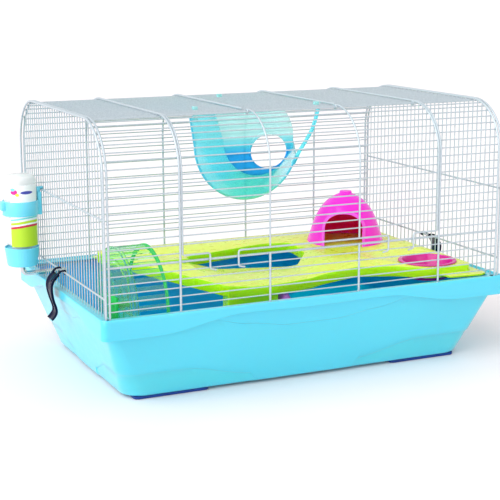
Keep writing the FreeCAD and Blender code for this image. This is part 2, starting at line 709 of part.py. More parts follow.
def build_house():
    """A rounded cone with a flat knob and an arched doorway that faces the front left."""
    radius, height, skin = dim("house_radius"), dim("house_height"), 2.2

    def dome(r, top, first):
        curve = Part.BSplineCurve()
        curve.buildFromPoles([V(r, 0, 0), V(r * 0.86, top * 0.34, 0), V(r * 0.74, top * 0.68, 0),
                              V(r * 0.40, top * 0.93, 0), V(first, top, 0)])
        return curve

    knob, inner_r, inner_top = 10.0, radius - skin, height - skin
    geometry = [dome(radius, height, knob),
                line((knob, height), (knob, height + 4.0)),
                line((knob, height + 4.0), (0.0, height + 4.0)),
                line((0.0, height + 4.0), (0.0, inner_top)),
                line((0.0, inner_top), (knob - skin, inner_top)),
                dome(inner_r, inner_top, knob - skin),
                line((inner_r, 0.0), (radius, 0.0))]
    body = turned_body("hide_house", geometry, "dims.house_x", "dims.house_y", "dims.deck_z")
    arch_w, arch_z = 29.0, 27.0
    arch = [line((-arch_w, -1.0), (arch_w, -1.0)), line((arch_w, -1.0), (arch_w, arch_z)),
            Part.Arc(V(arch_w, arch_z, 0), V(0, arch_z + 22.0, 0), V(-arch_w, arch_z, 0)),
            line((-arch_w, arch_z), (-arch_w, -1.0))]
    doorway = add_sketch(body, "house_doorway_outline", "XZ_Plane", arch)
    pocket(body, "house_doorway", doorway, "dims.house_radius + 5", back=True)
    turn = FreeCAD.Rotation(V(0, 0, 1), -32.0)
    body.Placement = FreeCAD.Placement(body.Placement.Base, turn)
    return body


build_bowl()
build_house()


# ---------------------------------------------------------------- exercise wheel

def build_wheel():
    """Closed disc on the left, open ring on the right, slats between, and a hub."""
    body = new_body("exercise_wheel")
    r, w = dim("wheel_radius"), dim("wheel_width")
    bore = dim("axle_radius") + dim("running_gap")
    hub, plate, lip = 9.0, 2.2, 7.0
    disc = [(bore, 0.0), (r, 0.0), (r, 6.0), (r - 2.0, 6.0), (r - 2.0, plate), (hub, plate),
            (hub, 20.0), (bore, 20.0)]
    ring = [(r - lip, w - 2.5), (r, w - 2.5), (r, w), (r - lip, w)]
    sketch = add_sketch(body, "wheel_disc_profile", "XZ_Plane",
                        polygon([(z, x) for x, z in disc]))
    revolve(body, "wheel_disc", sketch, "H_Axis")
    ring_sketch = add_sketch(body, "wheel_ring_profile", "XZ_Plane",
                             polygon([(z, x) for x, z in ring]))
    revolve(body, "wheel_ring", ring_sketch, "H_Axis")
    slat = add_sketch(body, "wheel_slat_outline", "YZ_Plane",
                      rectangle(7.0, 2.0, 0.0, 0.0, r - 1.0))
    first = pad(body, "wheel_slat", slat, "dims.wheel_width")
    slats = body.newObject("PartDesign::PolarPattern", "wheel_slats")
    slats.Originals = [first]
    slats.Axis = ([f for f in body.Origin.OriginFeatures if f.Role == "X_Axis"][0], [""])
    slats.Angle = 360.0
    slats.Occurrences = 40
    body.Tip = slats
    body.setExpression("Placement.Base.x", "dims.origin_offset_x + dims.wheel_left_x")
    body.setExpression("Placement.Base.y", "dims.wheel_y")
    body.setExpression("Placement.Base.z", "dims.wheel_z")
    return body


def build_wheel_stand():
    """A leg beside the closed disc that slopes in to a foot plate on the tray floor."""
    body = new_body("wheel_stand")
    floor = dim("tray_floor_z") + dim("tray_wall")
    x = dim("wheel_left_x") - 1.0
    z = dim("wheel_z")
    side = [(x - 4.0, z + 14.0), (x, z + 14.0), (x, 34.0), (x + 12.0, floor + 3.0),
            (x + 52.0, floor + 3.0), (x + 52.0, floor), (x + 6.0, floor), (x - 4.0, 34.0)]
    sketch = add_sketch(body, "stand_outline", "XZ_Plane", polygon(side), "-dims.wheel_y")
    pad(body, "stand_leg", sketch, "34", both=True)
    return body


def build_axle():
    body = new_body("wheel_axle")
    sketch = add_sketch(body, "axle_outline", "YZ_Plane",
                        [circle(dim("wheel_y"), dim("wheel_z"), dim("axle_radius"))],
                        "dims.wheel_left_x - 1")
    pad(body, "axle_rod", sketch, "22")
    head = add_sketch(body, "axle_head_outline", "YZ_Plane",
                      [circle(dim("wheel_y"), dim("wheel_z"), 7.5)], "dims.wheel_left_x + 20.8")
    pad(body, "axle_head", head, "3")
    return body


build_wheel()
build_wheel_stand()
build_axle()


# ---------------------------------------------------------------- drinking bottle

def build_bottle():
    """An upturned bottle: straight wall, rounded closed top, neck in the cap."""
    r, skin = dim("bottle_radius"), 1.2
    height = dim("bottle_top_z") - dim("cap_top_z") + 12.0
    neck, neck_end = 14.0, 18.0
    outer = [(neck, 0.0), (neck, neck_end - 6.0), (r, neck_end), (r, height - 7.0),
             (r - 7.0, height), (0.0, height)]
    inner = [(0.0, height - skin), (r - 7.5, height - skin), (r - skin, height - 7.5),
             (r - skin, neck_end + 0.6), (neck - skin, neck_end - 5.4), (neck - skin, 0.0)]
    turned_body("water_bottle", polygon(outer + inner), "dims.bottle_x", "dims.bottle_y",
                "dims.cap_top_z - 12")


def build_cap():
    """A flared cup round the neck, with a hole in its floor for the tube."""
    height = dim("cap_top_z") - dim("cap_bottom_z")
    top, low = dim("bottle_radius") + 1.9, dim("bottle_radius") - 1.6
    hole, neck = dim("tube_radius"), 14.0 + dim("running_gap")
    profile = [(hole, 0.0), (low, 0.0), (top, height), (top - 1.6, height),
               (top - 2.0, height - 3.0), (neck, height - 3.0), (neck, height - 12.0),
               (hole, height - 12.0)]
    turned_body("bottle_cap", polygon(profile), "dims.bottle_x", "dims.bottle_y",
                "dims.cap_bottom_z")


TUBE_DROP, TUBE_REACH = 13.0, 62.0        # below the cap, and how far the tube runs into the cage


def build_tube():
    """Down out of the cap and round a bend, then level between two uprights."""
    body = new_body("drinking_tube")
    start, turn = 8.0, 7.0
    path = [line((0.0, start), (0.0, -TUBE_DROP + turn)),
            Part.Arc(V(0.0, -TUBE_DROP + turn, 0),
                     V(turn - turn * math.cos(math.pi / 4.0),
                       -TUBE_DROP + turn - turn * math.sin(math.pi / 4.0), 0),
                     V(turn, -TUBE_DROP, 0)),
            line((turn, -TUBE_DROP), (TUBE_REACH, -TUBE_DROP))]
    spine = add_sketch(body, "tube_path", "XZ_Plane", path)
    r = dim("tube_radius")
    for kind, name, radius in (("PartDesign::AdditivePipe", "tube_wall", r),
                               ("PartDesign::SubtractivePipe", "tube_bore", r - 0.6)):
        section = add_sketch(body, name + "_section", "XY_Plane", [circle(0, 0, radius)],
                             "%.1f" % start)
        pipe = body.newObject(kind, name)
        pipe.Profile = section
        pipe.Spine = (spine, ["Edge1", "Edge2", "Edge3"])
        body.Tip = pipe
    body.setExpression("Placement.Base.x", "dims.origin_offset_x + dims.bottle_x")
    body.setExpression("Placement.Base.y", "dims.bottle_y")
    body.setExpression("Placement.Base.z", "dims.cap_bottom_z")
    return body


def build_ball():
    ball = doc.addObject("Part::Sphere", "tube_ball")
    ball.setExpression("Radius", "dims.tube_radius - 0.65")
    keep(ball, "tube_ball")
    ball.setExpression("Placement.Base.x",
                       "dims.origin_offset_x + dims.bottle_x + %.1f" % (TUBE_REACH - 1.0))
    ball.setExpression("Placement.Base.y", "dims.bottle_y")
    ball.setExpression("Placement.Base.z", "dims.cap_bottom_z - %.1f" % TUBE_DROP)
    return ball


def build_holder():
    """A collar round the bottle with a lug, a back plate, and a hook over the middle bar."""
    body = new_body("bottle_holder")
    gap = 0.4
    x, y = dim("bottle_x"), dim("bottle_y")
    inner = dim("bottle_radius") + gap
    collar = add_sketch(body, "holder_collar_outline", "XY_Plane",
                        [circle(x, y, inner + 2.2), circle(x, y, inner)], "213")
    pad(body, "holder_collar", collar, "20")
    lug_x = x - inner - 1.0
    lug = add_sketch(body, "holder_lug_outline", "XY_Plane",
                     polygon([(lug_x, y - 9.0), (lug_x, y + 9.0), (lug_x - 5.4, y + 8.0),
                              (lug_x - 5.4, y - 8.0)], [0.0, 0.0, 2.0, 2.0]), "221")
    pad(body, "holder_lug", lug, "11")
    plate_x = -dim("end_frame_x") - dim("hoop_wire") - 0.3
    near = x + inner + 0.2
    plate = add_sketch(body, "holder_plate_outline", "XY_Plane",
                       polygon([(near, y - 9.0), (plate_x, y - 9.0), (plate_x, y + 9.0),
                                (near, y + 9.0)]), "212")
    pad(body, "holder_plate", plate, "32")
    bar_x = -dim("upright_x") - dim("upright_wire") - dim("frame_wire")
    bar_top = dim("middle_bar_z") + dim("frame_wire") + 0.3
    inside = bar_x + dim("frame_wire") + 0.3
    hook = polygon([(near, 240.0), (plate_x, 240.0), (plate_x, bar_top), (inside, bar_top),
                    (inside, bar_top - 4.0), (inside + 2.0, bar_top - 4.0),
                    (inside + 2.0, bar_top + 2.4), (near, bar_top + 2.4)])
    hook_sketch = add_sketch(body, "holder_hook_outline", "XZ_Plane", hook,
                             "-dims.bottle_y")
    pad(body, "holder_hook", hook_sketch, "7", both=True)
    return body


build_bottle()
build_cap()
build_tube()
build_ball()
build_holder()


# ---------------------------------------------------------------- closing clips

def build_clip(side, way):
    """An S-shaped clip: two claws round the low bar, a bulged back, a catch and a pull tab."""
    body = new_body("%s_clip" % side)
    bar_x = dim("upright_x") + dim("upright_wire") + dim("frame_wire")
    bar_z = dim("low_bar_z")
    rim = dim("rim_length") / 2.0
    under = dim("rim_z") - dim("band_drop")

    def outline(points, radius):
        return polygon([(way * px, pz) for px, pz in points], radius)

    back = [(bar_x + 9.5, bar_z - 1.0), (rim + 11.5, bar_z - 16.0), (rim + 8.5, under + 4.0),
            (rim + 7.0, under - 4.0), (rim + 12.0, under - 13.0), (rim + 9.6, under - 15.0),
            (rim + 3.5, under - 8.5), (rim + 0.8, under - 7.0), (rim + 0.6, under - 2.0),
            (rim + 3.0, under + 4.0), (rim + 7.6, bar_z - 18.0), (bar_x + 6.5, bar_z - 4.0)]
    bends = [1.0, 9.0, 8.0, 6.0, 1.0, 0.9, 1.5, 0.9, 0.9, 6.0, 7.0, 1.5]
    back_sketch = add_sketch(body, side + "_clip_outline", "XZ_Plane", outline(back, bends))
    pad(body, side + "_clip_back", back_sketch, "dims.clip_width", both=True)
    arm = [(bar_x + 0.5, bar_z + 3.2), (bar_x + 9.3, bar_z - 0.6), (bar_x + 9.3, bar_z - 6.0),
           (bar_x + 6.5, bar_z - 4.6), (bar_x + 2.0, bar_z - 0.4)]
    inner, outer = dim("frame_wire") + dim("running_gap"), dim("frame_wire") + 2.2
    for k, place in enumerate((-pitch, pitch)):
        level = "%.2f" % -place
        arm_sketch = add_sketch(body, "%s_clip_arm_outline_%d" % (side, k), "XZ_Plane",
                                outline(arm, 0.3), level)
        pad(body, "%s_clip_arm_%d" % (side, k), arm_sketch, "4.6", both=True)
        claw = add_sketch(body, "%s_clip_claw_%d" % (side, k), "XZ_Plane",
                          [circle(way * bar_x, bar_z, outer), circle(way * bar_x, bar_z, inner)],
                          level)
        pad(body, "%s_clip_ring_%d" % (side, k), claw, "4.6", both=True)
    return body


build_clip("left", -1.0)
build_clip("right", 1.0)


# ---------------------------------------------------------------- hanging nest

NEST_TOP = 358.0
NEST_FRONT = (-55.0, 320.0, 78.0, 6.0)       # centre across and up, radius, and lean of the left wall
NEST_BACK = (44.0, 302.0, 59.0, 18.0)


def nest_loft(name, skin, open_end):
    """The nest's tapering trough between its front rim and its back plate, less its skin."""
    front_y, back_y = dim("nest_front_y"), dim("nest_back_y")

    def section(tag, y, x, z, r, lean, top):
        r -= skin
        geometry = [line((x - r - lean, top), (x - r, z)),
                    Part.Arc(V(x - r, z, 0), V(x, z - r, 0), V(x + r, z, 0)),
                    line((x + r, z), (x + r, top)),
                    line((x + r, top), (x - r - lean, top))]
        sketch = doc.addObject("Sketcher::SketchObject", name + "_" + tag)
        sketch.Placement = FreeCAD.Placement(V(0, y, 0), ACROSS)
        for item in geometry:
            sketch.addGeometry(item, False)
        return sketch

    top = NEST_TOP + (6.0 if open_end else 0.0)
    loft = doc.addObject("Part::Loft", name)
    loft.Sections = [section("front", front_y - (0.5 if open_end else 0.0), *NEST_FRONT, top),
                     section("back", back_y, *NEST_BACK, top)]
    loft.Solid = True
    loft.Ruled = True
    return loft


def build_nest():
    """A clear plastic trough, hung from the roof wires, with a round window in its back."""
    skin = dim("nest_skin")
    front_y, back_y = dim("nest_front_y"), dim("nest_back_y")
    wall = boolean("Cut", "nest_wall", nest_loft("nest_outer", 0.0, False),
                   nest_loft("nest_inner", skin, True))
    away = prism("nest_trim", FLAT,
                 polygon([(-118.0, front_y - 9.0), (150.0, front_y - 9.0),
                          (150.0, back_y + 9.0), (5.0, back_y + 9.0)]), V(0, 0, 297.0), 90.0)
    trough = boolean("Cut", "nest_trough", wall, away)
    x, z, r, lean = NEST_BACK
    plate = prism("nest_plate", ACROSS, [circle(x, z, r - 0.5), circle(62.0, 281.0, 28.0)],
                  V(0, back_y - 0.4, 0), skin)
    corner = prism("nest_plate_corner", ACROSS,
                   polygon([(x - r + 0.5, z), (x - r + 0.5 - lean, NEST_TOP - 1.0),
                            (x, NEST_TOP - 1.0), (x - 30.0, z + 12.0)]),
                   V(0, back_y - 0.4, 0), skin)
    strap = prism("nest_strap", ACROSS,
                  polygon([(14.0, 287.0), (18.0, 284.0), (28.2, 302.0), (47.4, 330.8),
                           (56.6, 359.0), (56.6, 364.0), (52.0, 364.0), (52.0, 360.0),
                           (43.0, 332.5), (24.0, 304.6)]), V(0, front_y + 8.0, 0), 8.0)
    hooks = []
    for tag, x, k, low in (("front", -126.2, 4, 352.0), ("back", -22.5, 18, 352.0),
                           ("right", 51.0, 3, 360.0)):
        wire_y = hinge_y + k * pitch
        gap = dim("thin_wire") + dim("running_gap")
        top = roof_z - thin_inset + gap
        hook = [(wire_y - gap - 2.4, low), (wire_y - gap, low), (wire_y - gap, top),
                (wire_y + gap, top), (wire_y + gap, top - 3.4), (wire_y + gap + 2.0, top - 3.4),
                (wire_y + gap + 2.0, top + 3.6), (wire_y - gap - 2.4, top + 3.6)]
        turn = FreeCAD.Rotation(V(1, 1, 1), 120)       # sketch x to Y, sketch y to Z
        hooks.append(prism("nest_hook_" + tag, turn, polygon(hook), V(x, 0, 0), 6.0))
    nest = doc.addObject("Part::MultiFuse", "hanging_nest")
    nest.Shapes = [trough, plate, corner, strap] + hooks
    return keep(nest, "hanging_nest")


build_nest()


# ---------------------------------------------------------------- check and export

doc.recompute()
for obj in doc.Objects:
    if "Invalid" in obj.State or "Error" in obj.State:
        raise RuntimeError("%s failed: %s" % (obj.Label, obj.State))
for obj in SUB_PARTS:
    if obj.Shape.isNull() or not obj.Shape.isValid() or not obj.Shape.Solids:
        raise RuntimeError("%s has no valid solid" % obj.Label)

os.makedirs("parts", exist_ok=True)
for old in os.listdir("parts"):
    if old.endswith(".step"):
        os.remove(os.path.join("parts", old))
for obj in SUB_PARTS:
    obj.Shape.exportStep("parts/%s.step" % obj.Label)
    print("%-26s solids %3d  volume %10.0f" % (obj.Label, len(obj.Shape.Solids),
                                               obj.Shape.Volume))
box = FreeCAD.BoundBox()
for obj in SUB_PARTS:
    box.add(obj.Shape.BoundBox)
print("box", box)
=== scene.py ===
import math

import bmesh
import bpy
from mathutils import Matrix, Vector


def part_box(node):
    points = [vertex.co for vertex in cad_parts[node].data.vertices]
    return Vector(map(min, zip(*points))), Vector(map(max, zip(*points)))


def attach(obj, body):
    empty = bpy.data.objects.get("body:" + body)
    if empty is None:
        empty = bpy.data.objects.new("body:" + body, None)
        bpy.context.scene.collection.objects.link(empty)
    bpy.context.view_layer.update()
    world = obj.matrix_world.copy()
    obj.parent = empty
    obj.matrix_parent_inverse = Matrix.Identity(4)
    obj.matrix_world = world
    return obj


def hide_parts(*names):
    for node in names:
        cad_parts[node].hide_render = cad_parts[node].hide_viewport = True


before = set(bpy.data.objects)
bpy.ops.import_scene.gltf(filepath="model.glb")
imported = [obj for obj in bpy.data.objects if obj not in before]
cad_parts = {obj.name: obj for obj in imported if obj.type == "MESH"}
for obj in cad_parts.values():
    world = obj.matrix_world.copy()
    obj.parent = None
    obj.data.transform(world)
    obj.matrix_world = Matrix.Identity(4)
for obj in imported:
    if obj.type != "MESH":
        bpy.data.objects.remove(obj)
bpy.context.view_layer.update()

# Hamster cage. Lengths are written in millimetres in the cage's own centred frame and turned
# into the row's metres by P().

MM = 0.001
AXIS_X, AXIS_Y, AXIS_Z = AXES = [Vector(axis) for axis in ((1, 0, 0), (0, 1, 0), (0, 0, 1))]
tray_low, tray_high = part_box("base_tray")
SHIFT_X = (tray_low.x + tray_high.x) / 2.0 / MM      # the cage's centre, along the row's X


def middle_and_half(node):
    low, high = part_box(node)
    return (low + high) / 2.0, (high - low) / 2.0


def P(x, y, z):
    """A place in the cage's own frame, in the row's metres."""
    return Vector(((x + SHIFT_X) * MM, y * MM, z * MM))


def lerp(a, b, t):
    return a + (b - a) * t


def added(name, data):
    """A new object in the scene."""
    thing = bpy.data.objects.new(name, data)
    bpy.context.scene.collection.objects.link(thing)
    return thing


def smooth(a, b, x):
    """0 at a and before it, 1 at b and beyond it, with a soft step between."""
    t = min(max((x - a) / (b - a), 0.0), 1.0)
    return t * t * (3.0 - 2.0 * t)


# ---------------- camera, light and floor

def build_camera():
    """A long lens from the front left, a little above the roof."""
    data = bpy.data.cameras.new("camera")
    data.lens = 94.91
    data.sensor_width = 36.0
    data.clip_end = 50.0
    camera = added("camera", data)
    forward = Vector((0.41002, 0.88847, -0.20618)).normalized()
    up = Vector((0.08931, 0.18586, 0.97851))
    right = forward.cross(up).normalized()
    up = right.cross(forward).normalized()
    turn = Matrix((right, up, -forward)).transposed().to_4x4()
    camera.matrix_world = Matrix.Translation(P(-796.9, -1707.3, 545.7)) @ turn
    bpy.context.scene.camera = camera


def lamp(kind, name, energy, direction, place=(0.0, 0.0, 0.0)):
    data = bpy.data.lights.new(name, kind)
    data.energy = energy
    light = added(name, data)
    light.location = place
    light.rotation_euler = Vector(direction).to_track_quat("-Z", "Y").to_euler()
    return data


def build_light():
    """White surroundings, a very soft sun from the left and a faint fill from the front."""
    scene = bpy.context.scene
    scene.view_settings.view_transform = "Standard"
    world = bpy.data.worlds.new("studio")
    world.use_nodes = True
    background = world.node_tree.nodes["Background"]
    background.inputs["Color"].default_value = (1.0, 1.0, 1.0, 1.0)
    background.inputs["Strength"].default_value = 0.84
    scene.world = world
    sun = lamp("SUN", "window", 2.6, (0.80, 0.20, -0.52))
    sun.angle = math.radians(70.0)
    fill = lamp("AREA", "front_fill", 6.0, (-0.2, 2.4, -0.78), (0.2, -2.4, 0.9))
    fill.shape = "RECTANGLE"
    fill.size, fill.size_y = 1.8, 1.0


# ---------------- materials

def srgb(r, g, b):
    def channel(value):
        value /= 255.0
        return value / 12.92 if value <= 0.04045 else ((value + 0.055) / 1.055) ** 2.4
    return channel(r), channel(g), channel(b)


def feed(tree, node, inputs):
    """Gives a node its inputs: sockets are linked, plain values are set."""
    for name, value in inputs.items():
        if isinstance(value, bpy.types.NodeSocket):
            tree.links.new(value, node.inputs[name])
        else:
            node.inputs[name].default_value = value


def new_node(tree, kind, inputs, **settings):
    node = tree.nodes.new("ShaderNode" + kind)
    for name, value in settings.items():
        setattr(node, name, value)
    feed(tree, node, inputs)
    return node


def object_point(tree):
    return new_node(tree, "TexCoord", {}).outputs["Object"]


def noise(tree, scale, detail=3.0, stretch=(1.0, 1.0, 1.0)):
    mapping = new_node(tree, "Mapping", {"Scale": stretch, "Vector": object_point(tree)})
    return new_node(tree, "TexNoise", {"Scale": scale, "Detail": detail,
                                       "Vector": mapping.outputs["Vector"]}).outputs["Fac"]


def ramp(tree, source, stops, change="LINEAR"):
    """Colours by place along a source that runs from 0 to 1."""
    node = new_node(tree, "ValToRGB", {"Fac": source})
    node.color_ramp.interpolation = change
    elements = node.color_ramp.elements
    while len(elements) < len(stops):
        elements.new(0.5)
    for element, (place, colour) in zip(elements, stops):
        element.position = place
        element.color = (*colour, 1.0)
    return node.outputs["Color"]


def remap(tree, source, low, high, start=0.3, stop=0.7):
    """Stretches start to stop over low to high; noise mostly stays within 0.3 to 0.7."""
    return new_node(tree, "MapRange", {"From Min": start, "From Max": stop, "To Min": low,
                                       "To Max": high, "Value": source}).outputs["Result"]


def reckon(tree, operation, *inputs):
    """A math node fed with sockets and plain numbers."""
    return new_node(tree, "Math", dict(enumerate(inputs)), operation=operation).outputs["Value"]


def object_place(tree):
    """The X, Y and Z of a point of the object."""
    return new_node(tree, "SeparateXYZ", {"Vector": object_point(tree)}).outputs


def shade(colour, factor):
    return tuple(min(c * factor, 1.0) for c in colour)


def drift(dark, light, *texture, spread=0.2):
    """A colour that wanders between two with a noise texture."""
    stops = [(0.5 - spread, dark), (0.5 + spread, light)]
    return lambda tree: ramp(tree, noise(tree, *texture), stops)


def shaded(colour, spread, scale):
    return drift(shade(colour, 1.0 - spread), shade(colour, 1.0 + spread), scale, 2.0)


def surface(name, colour, gloss, relief, settings):
    """A material.

    colour(tree) makes its colour. gloss is the lowest and highest roughness and their noise.
    relief is the bump's strength, its depth and its noise, or empty. settings are plain values
    for sockets of the shader.
    """
    material = bpy.data.materials.new(name)
    material.use_nodes = True
    tree = material.node_tree
    bsdf = tree.nodes["Principled BSDF"]
    low, high, *texture = gloss
    sockets = {"Base Color": colour(tree),
               "Roughness": remap(tree, noise(tree, *texture), low, high), **settings}
    if relief:
        strength, depth, *texture = relief
        bump = new_node(tree, "Bump", {"Strength": strength, "Distance": depth,
                                       "Height": noise(tree, *texture)})
        sockets["Normal"] = bump.outputs["Normal"]
    feed(tree, bsdf, sockets)
    return material


def plastic(name, colour, rough=0.28, spread=0.03, coat=0.15, specular=0.5, milky=0.0):
    """Moulded plastic: slow colour drift, fine orange peel and a varying gloss."""
    return surface(name, shaded(srgb(*colour), spread, 9.0),
                   (rough * 0.92, rough * 1.1, 60.0), (0.004, 0.0001, 700.0, 2.0),
                   {"Specular IOR Level": specular, "Coat Weight": coat, "Coat Roughness": 0.12,
                    "Subsurface Weight": milky, "Subsurface Scale": 0.006,
                    "Subsurface Radius": (0.4, 0.8, 1.0)})


FLOW_MARKS = (0.015, 0.0001, 160.0, 2.0)


def clear_plastic(name, colour, clarity, rough=0.08, spread=0.02, ior=1.1):
    """Tinted see-through plastic with faint flow marks from the mould."""
    return surface(name, shaded(srgb(*colour), spread, 14.0),
                   (rough * 0.7, rough * 1.4, 40.0), FLOW_MARKS,
                   {"Transmission Weight": clarity, "IOR": ior})


def height_painted_plastic(name, clarity, *tints):
    """Clear plastic whose tint changes with height, as painted light: the stops paint the lime deck's
    reflected green low down, and shade low and light high.
    """
    def colour(tree):
        height = remap(tree, object_place(tree)["Z"], 0.0, 1.0, 0.240, 0.360)
        return ramp(tree, height, [(place, srgb(*tint)) for place, *tint in tints])

    return surface(name, colour, (0.08, 0.14, 40.0), FLOW_MARKS,
                   {"Transmission Weight": clarity, "IOR": 1.1})


def coated_wire():
    """Silver powder coat: bright, lightly flecked, with a slightly uneven gloss."""
    return surface("silver_coat",
                   drift(srgb(177, 190, 198), srgb(197, 208, 215), 900.0, 2.0, spread=0.15),
                   (0.30, 0.40, 120.0), (0.05, 0.0001, 1500.0, 2.0), {"Metallic": 0.35})


def polished_steel():
    brushed = (300.0, 2.0, (0.05, 1.0, 1.0))
    return surface("polished_steel", drift(srgb(190, 193, 197), srgb(224, 227, 230), *brushed),
                   (0.16, 0.26, *brushed), (), {"Metallic": 1.0})


# Dark blue for the foot strips: painted shade, standing in for the shade under the tray's lower edge.
def foot_shade_blue():
    return surface("foot_painted_shade", drift(srgb(0, 46, 120), srgb(0, 58, 144), 80.0),
                   (0.55, 0.75, 200.0), (0.3, 0.0002, 900.0, 2.0), {})


def spotted(tree, split, colour, centre, half_x, half_z, tint):
    """Lays an oval spot of ink over a colour."""
    squares = []
    for axis, place, half in (("X", centre.x, half_x * MM), ("Z", centre.z, half_z * MM)):
        offset = reckon(tree, "MULTIPLY_ADD", split[axis], 1.0 / half, -place / half)
        squares.append(reckon(tree, "POWER", offset, 2.0))
    inside = reckon(tree, "LESS_THAN", reckon(tree, "ADD", *squares), 1.0)
    mix = new_node(tree, "Mix", {"Factor": inside, 6: colour, 7: (*tint, 1.0)}, data_type="RGBA")
    return mix.outputs[2]


def label_print(z_low, z_high):
    """Generic label: a lime block, a thin red line, thin waves and four spots on white."""
    lime, red = srgb(184, 224, 40), srgb(200, 24, 66)
    white, aqua = srgb(246, 250, 250), srgb(120, 222, 224)
    bands = [(0.0, lime), (0.30, red), (0.335, white), (0.36, lime), (0.40, white), (0.43, aqua),
             (0.46, white)]
    spots = ((-13.5, 247.5, 4.0, 3.6, srgb(224, 30, 150)), (-9.6, 243.6, 2.6, 2.2, srgb(246, 232, 60)),
             (-15.0, 251.0, 2.6, 2.2, srgb(120, 220, 240)), (3.5, 246.6, 9.0, 2.3, srgb(60, 70, 170)))

    def colour(tree):
        split = object_place(tree)
        wave = reckon(tree, "SINE", reckon(tree, "MULTIPLY", split["X"], 70.0))
        height = reckon(tree, "MULTIPLY_ADD", wave, 0.0022, split["Z"])
        ink = ramp(tree, remap(tree, height, 0.0, 1.0, z_low, z_high), bands, "CONSTANT")
        for x, z, half_x, half_z, tint in spots:
            ink = spotted(tree, split, ink, P(x + BOTTLE[0], 0.0, z), half_x, half_z, tint)
        return ink

    return surface("label_print", colour, (0.3, 0.45, 90.0), (0.08, 0.0001, 500.0, 2.0), {})


def floor_paper():
    return surface("studio_floor", drift((0.87, 0.82, 0.83), (0.89, 0.84, 0.85), 3.0, 2.0),
                   (0.7, 0.85, 20.0), (), {})


# ---------------- mesh helpers

class Shape:
    """Vertices and faces of one piece, gathered from rings, caps and tubes."""

    def __init__(self):
        self.verts = []
        self.faces = []

    def ring(self, points):
        first = len(self.verts)
        self.verts.extend(points)
        return list(range(first, len(self.verts)))

    def bridge(self, a, b, closed=True):
        count = len(a)
        for i in range(count if closed else count - 1):
            j = (i + 1) % count
            self.faces.append((a[i], a[j], b[j], b[i]))

    def rings(self, rows, closed=True, loop=False):
        """Joins a list of point rings; loop also joins the last to the first."""
        ids = [self.ring(row) for row in rows]
        for a, b in zip(ids, ids[1:]):
            self.bridge(a, b, closed)
        if loop:
            self.bridge(ids[-1], ids[0], closed)
        return ids

    def cap(self, ids):
        """A fan from a ring to its middle."""
        centre = sum((self.verts[i] for i in ids), Vector()) / len(ids)
        middle = len(self.verts)
        self.verts.append(centre)
        for i in range(len(ids)):
            self.faces.append((ids[i], ids[(i + 1) % len(ids)], middle))

    def solid(self, rows):
        """Rings joined into a tube that is closed at both ends."""
        ids = self.rings(rows)
        self.cap(ids[0])
        self.cap(ids[-1])


SIDES = (("left", -1.0), ("right", 1.0))


def circle(centre, u, v, radius, sides):
    """A ring of points round centre, in the plane of u and v."""
    angles = [2.0 * math.pi * k / sides for k in range(sides)]
    return [centre + u * (radius * math.cos(a)) + v * (radius * math.sin(a)) for a in angles]


def tube(shape, points, radius, sides, closed=False):
    """A round wire through points, with slightly domed ends."""
    count = len(points)
    tangents = []
    for i in range(count):
        before = points[i - 1] if (i > 0 or closed) else points[i]
        after = points[(i + 1) % count] if (i < count - 1 or closed) else points[i]
        tangents.append((after - before).normalized())
    normal = tangents[0].orthogonal().normalized()
    frames = []
    for point, tangent in zip(points, tangents):
        normal = (normal - tangent * normal.dot(tangent)).normalized()
        frames.append((point, normal, tangent.cross(normal)))
    loops = [circle(*place, radius, sides) for place in frames]
    if closed:
        shape.rings(loops, loop=True)
        return
    dome, narrow = radius * 0.25, radius * 0.72
    (p, u, v), (q, s, t) = frames[0], frames[-1]
    shape.solid([circle(p, u, v, narrow, sides), circle(p + tangents[0] * dome, u, v, radius, sides),
                 *loops[1:-1],
                 circle(q - tangents[-1] * dome, s, t, radius, sides), circle(q, s, t, narrow, sides)])


def arc(centre, radius, start, end, steps):
    """Points on an arc in an upright plane, as (x or y, z); angles in degrees."""
    angles = [math.radians(lerp(start, end, i / steps)) for i in range(steps + 1)]
    return [(centre[0] + radius * math.cos(a), centre[1] + radius * math.sin(a)) for a in angles]


def lathe(shape, profile, segments, place, ripple=None):
    """Turns a profile of (radius, height) about an axis; place(radius, angle, height)."""
    rows = []
    for r, h in profile:
        row = []
        for k in range(segments):
            a = 2.0 * math.pi * k / segments
            row.append(place(r + (ripple(r, a, h) if ripple else 0.0), a, h))
        rows.append(row)
    shape.rings(rows, loop=True)


def upright(x, y, z):
    """place() for a vertical axis through (x, y), heights counted from z."""
    def place(r, a, h):
        return P(x + r * math.cos(a), y + r * math.sin(a), z + h)
    return place


def across(x, y, z):
    """place() for an axis along X through (y, z), heights counted from x."""
    def place(r, a, h):
        return P(x + h, y + r * math.cos(a), z + r * math.sin(a))
    return place


def rounded(points, radius, steps=3):
    """Closed 2-D outline with its corners rounded; radius may be a list."""
    count = len(points)
    radii = radius if isinstance(radius, list) else [radius] * count
    result = []
    for i in range(count):
        p = Vector(points[i])
        a, b = Vector(points[i - 1]) - p, Vector(points[(i + 1) % count]) - p
        room = 0.49 * min(a.length, b.length)
        a.normalize()
        b.normalize()
        half = a.angle(b) / 2.0
        if radii[i] <= 0.0 or half > math.radians(88.0):
            result.append(tuple(p))
            continue
        reach = min(radii[i] / math.tan(half), room)
        r = reach * math.tan(half)
        centre = p + (a + b).normalized() * (r / math.sin(half))
        start, end = p + a * reach - centre, p + b * reach - centre
        for k in range(steps + 1):
            result.append(tuple(centre + lerp(start, end, k / steps).normalized() * r))
    return result


def joined(work):
    bmesh.ops.remove_doubles(work, verts=work.verts, dist=2e-6)


def without_slivers(work):
    bmesh.ops.dissolve_degenerate(work, edges=work.edges, dist=1e-6)


def without_flat_edges(work):
    bmesh.ops.dissolve_limit(work, angle_limit=math.radians(1.0), verts=work.verts,
                             edges=work.edges)


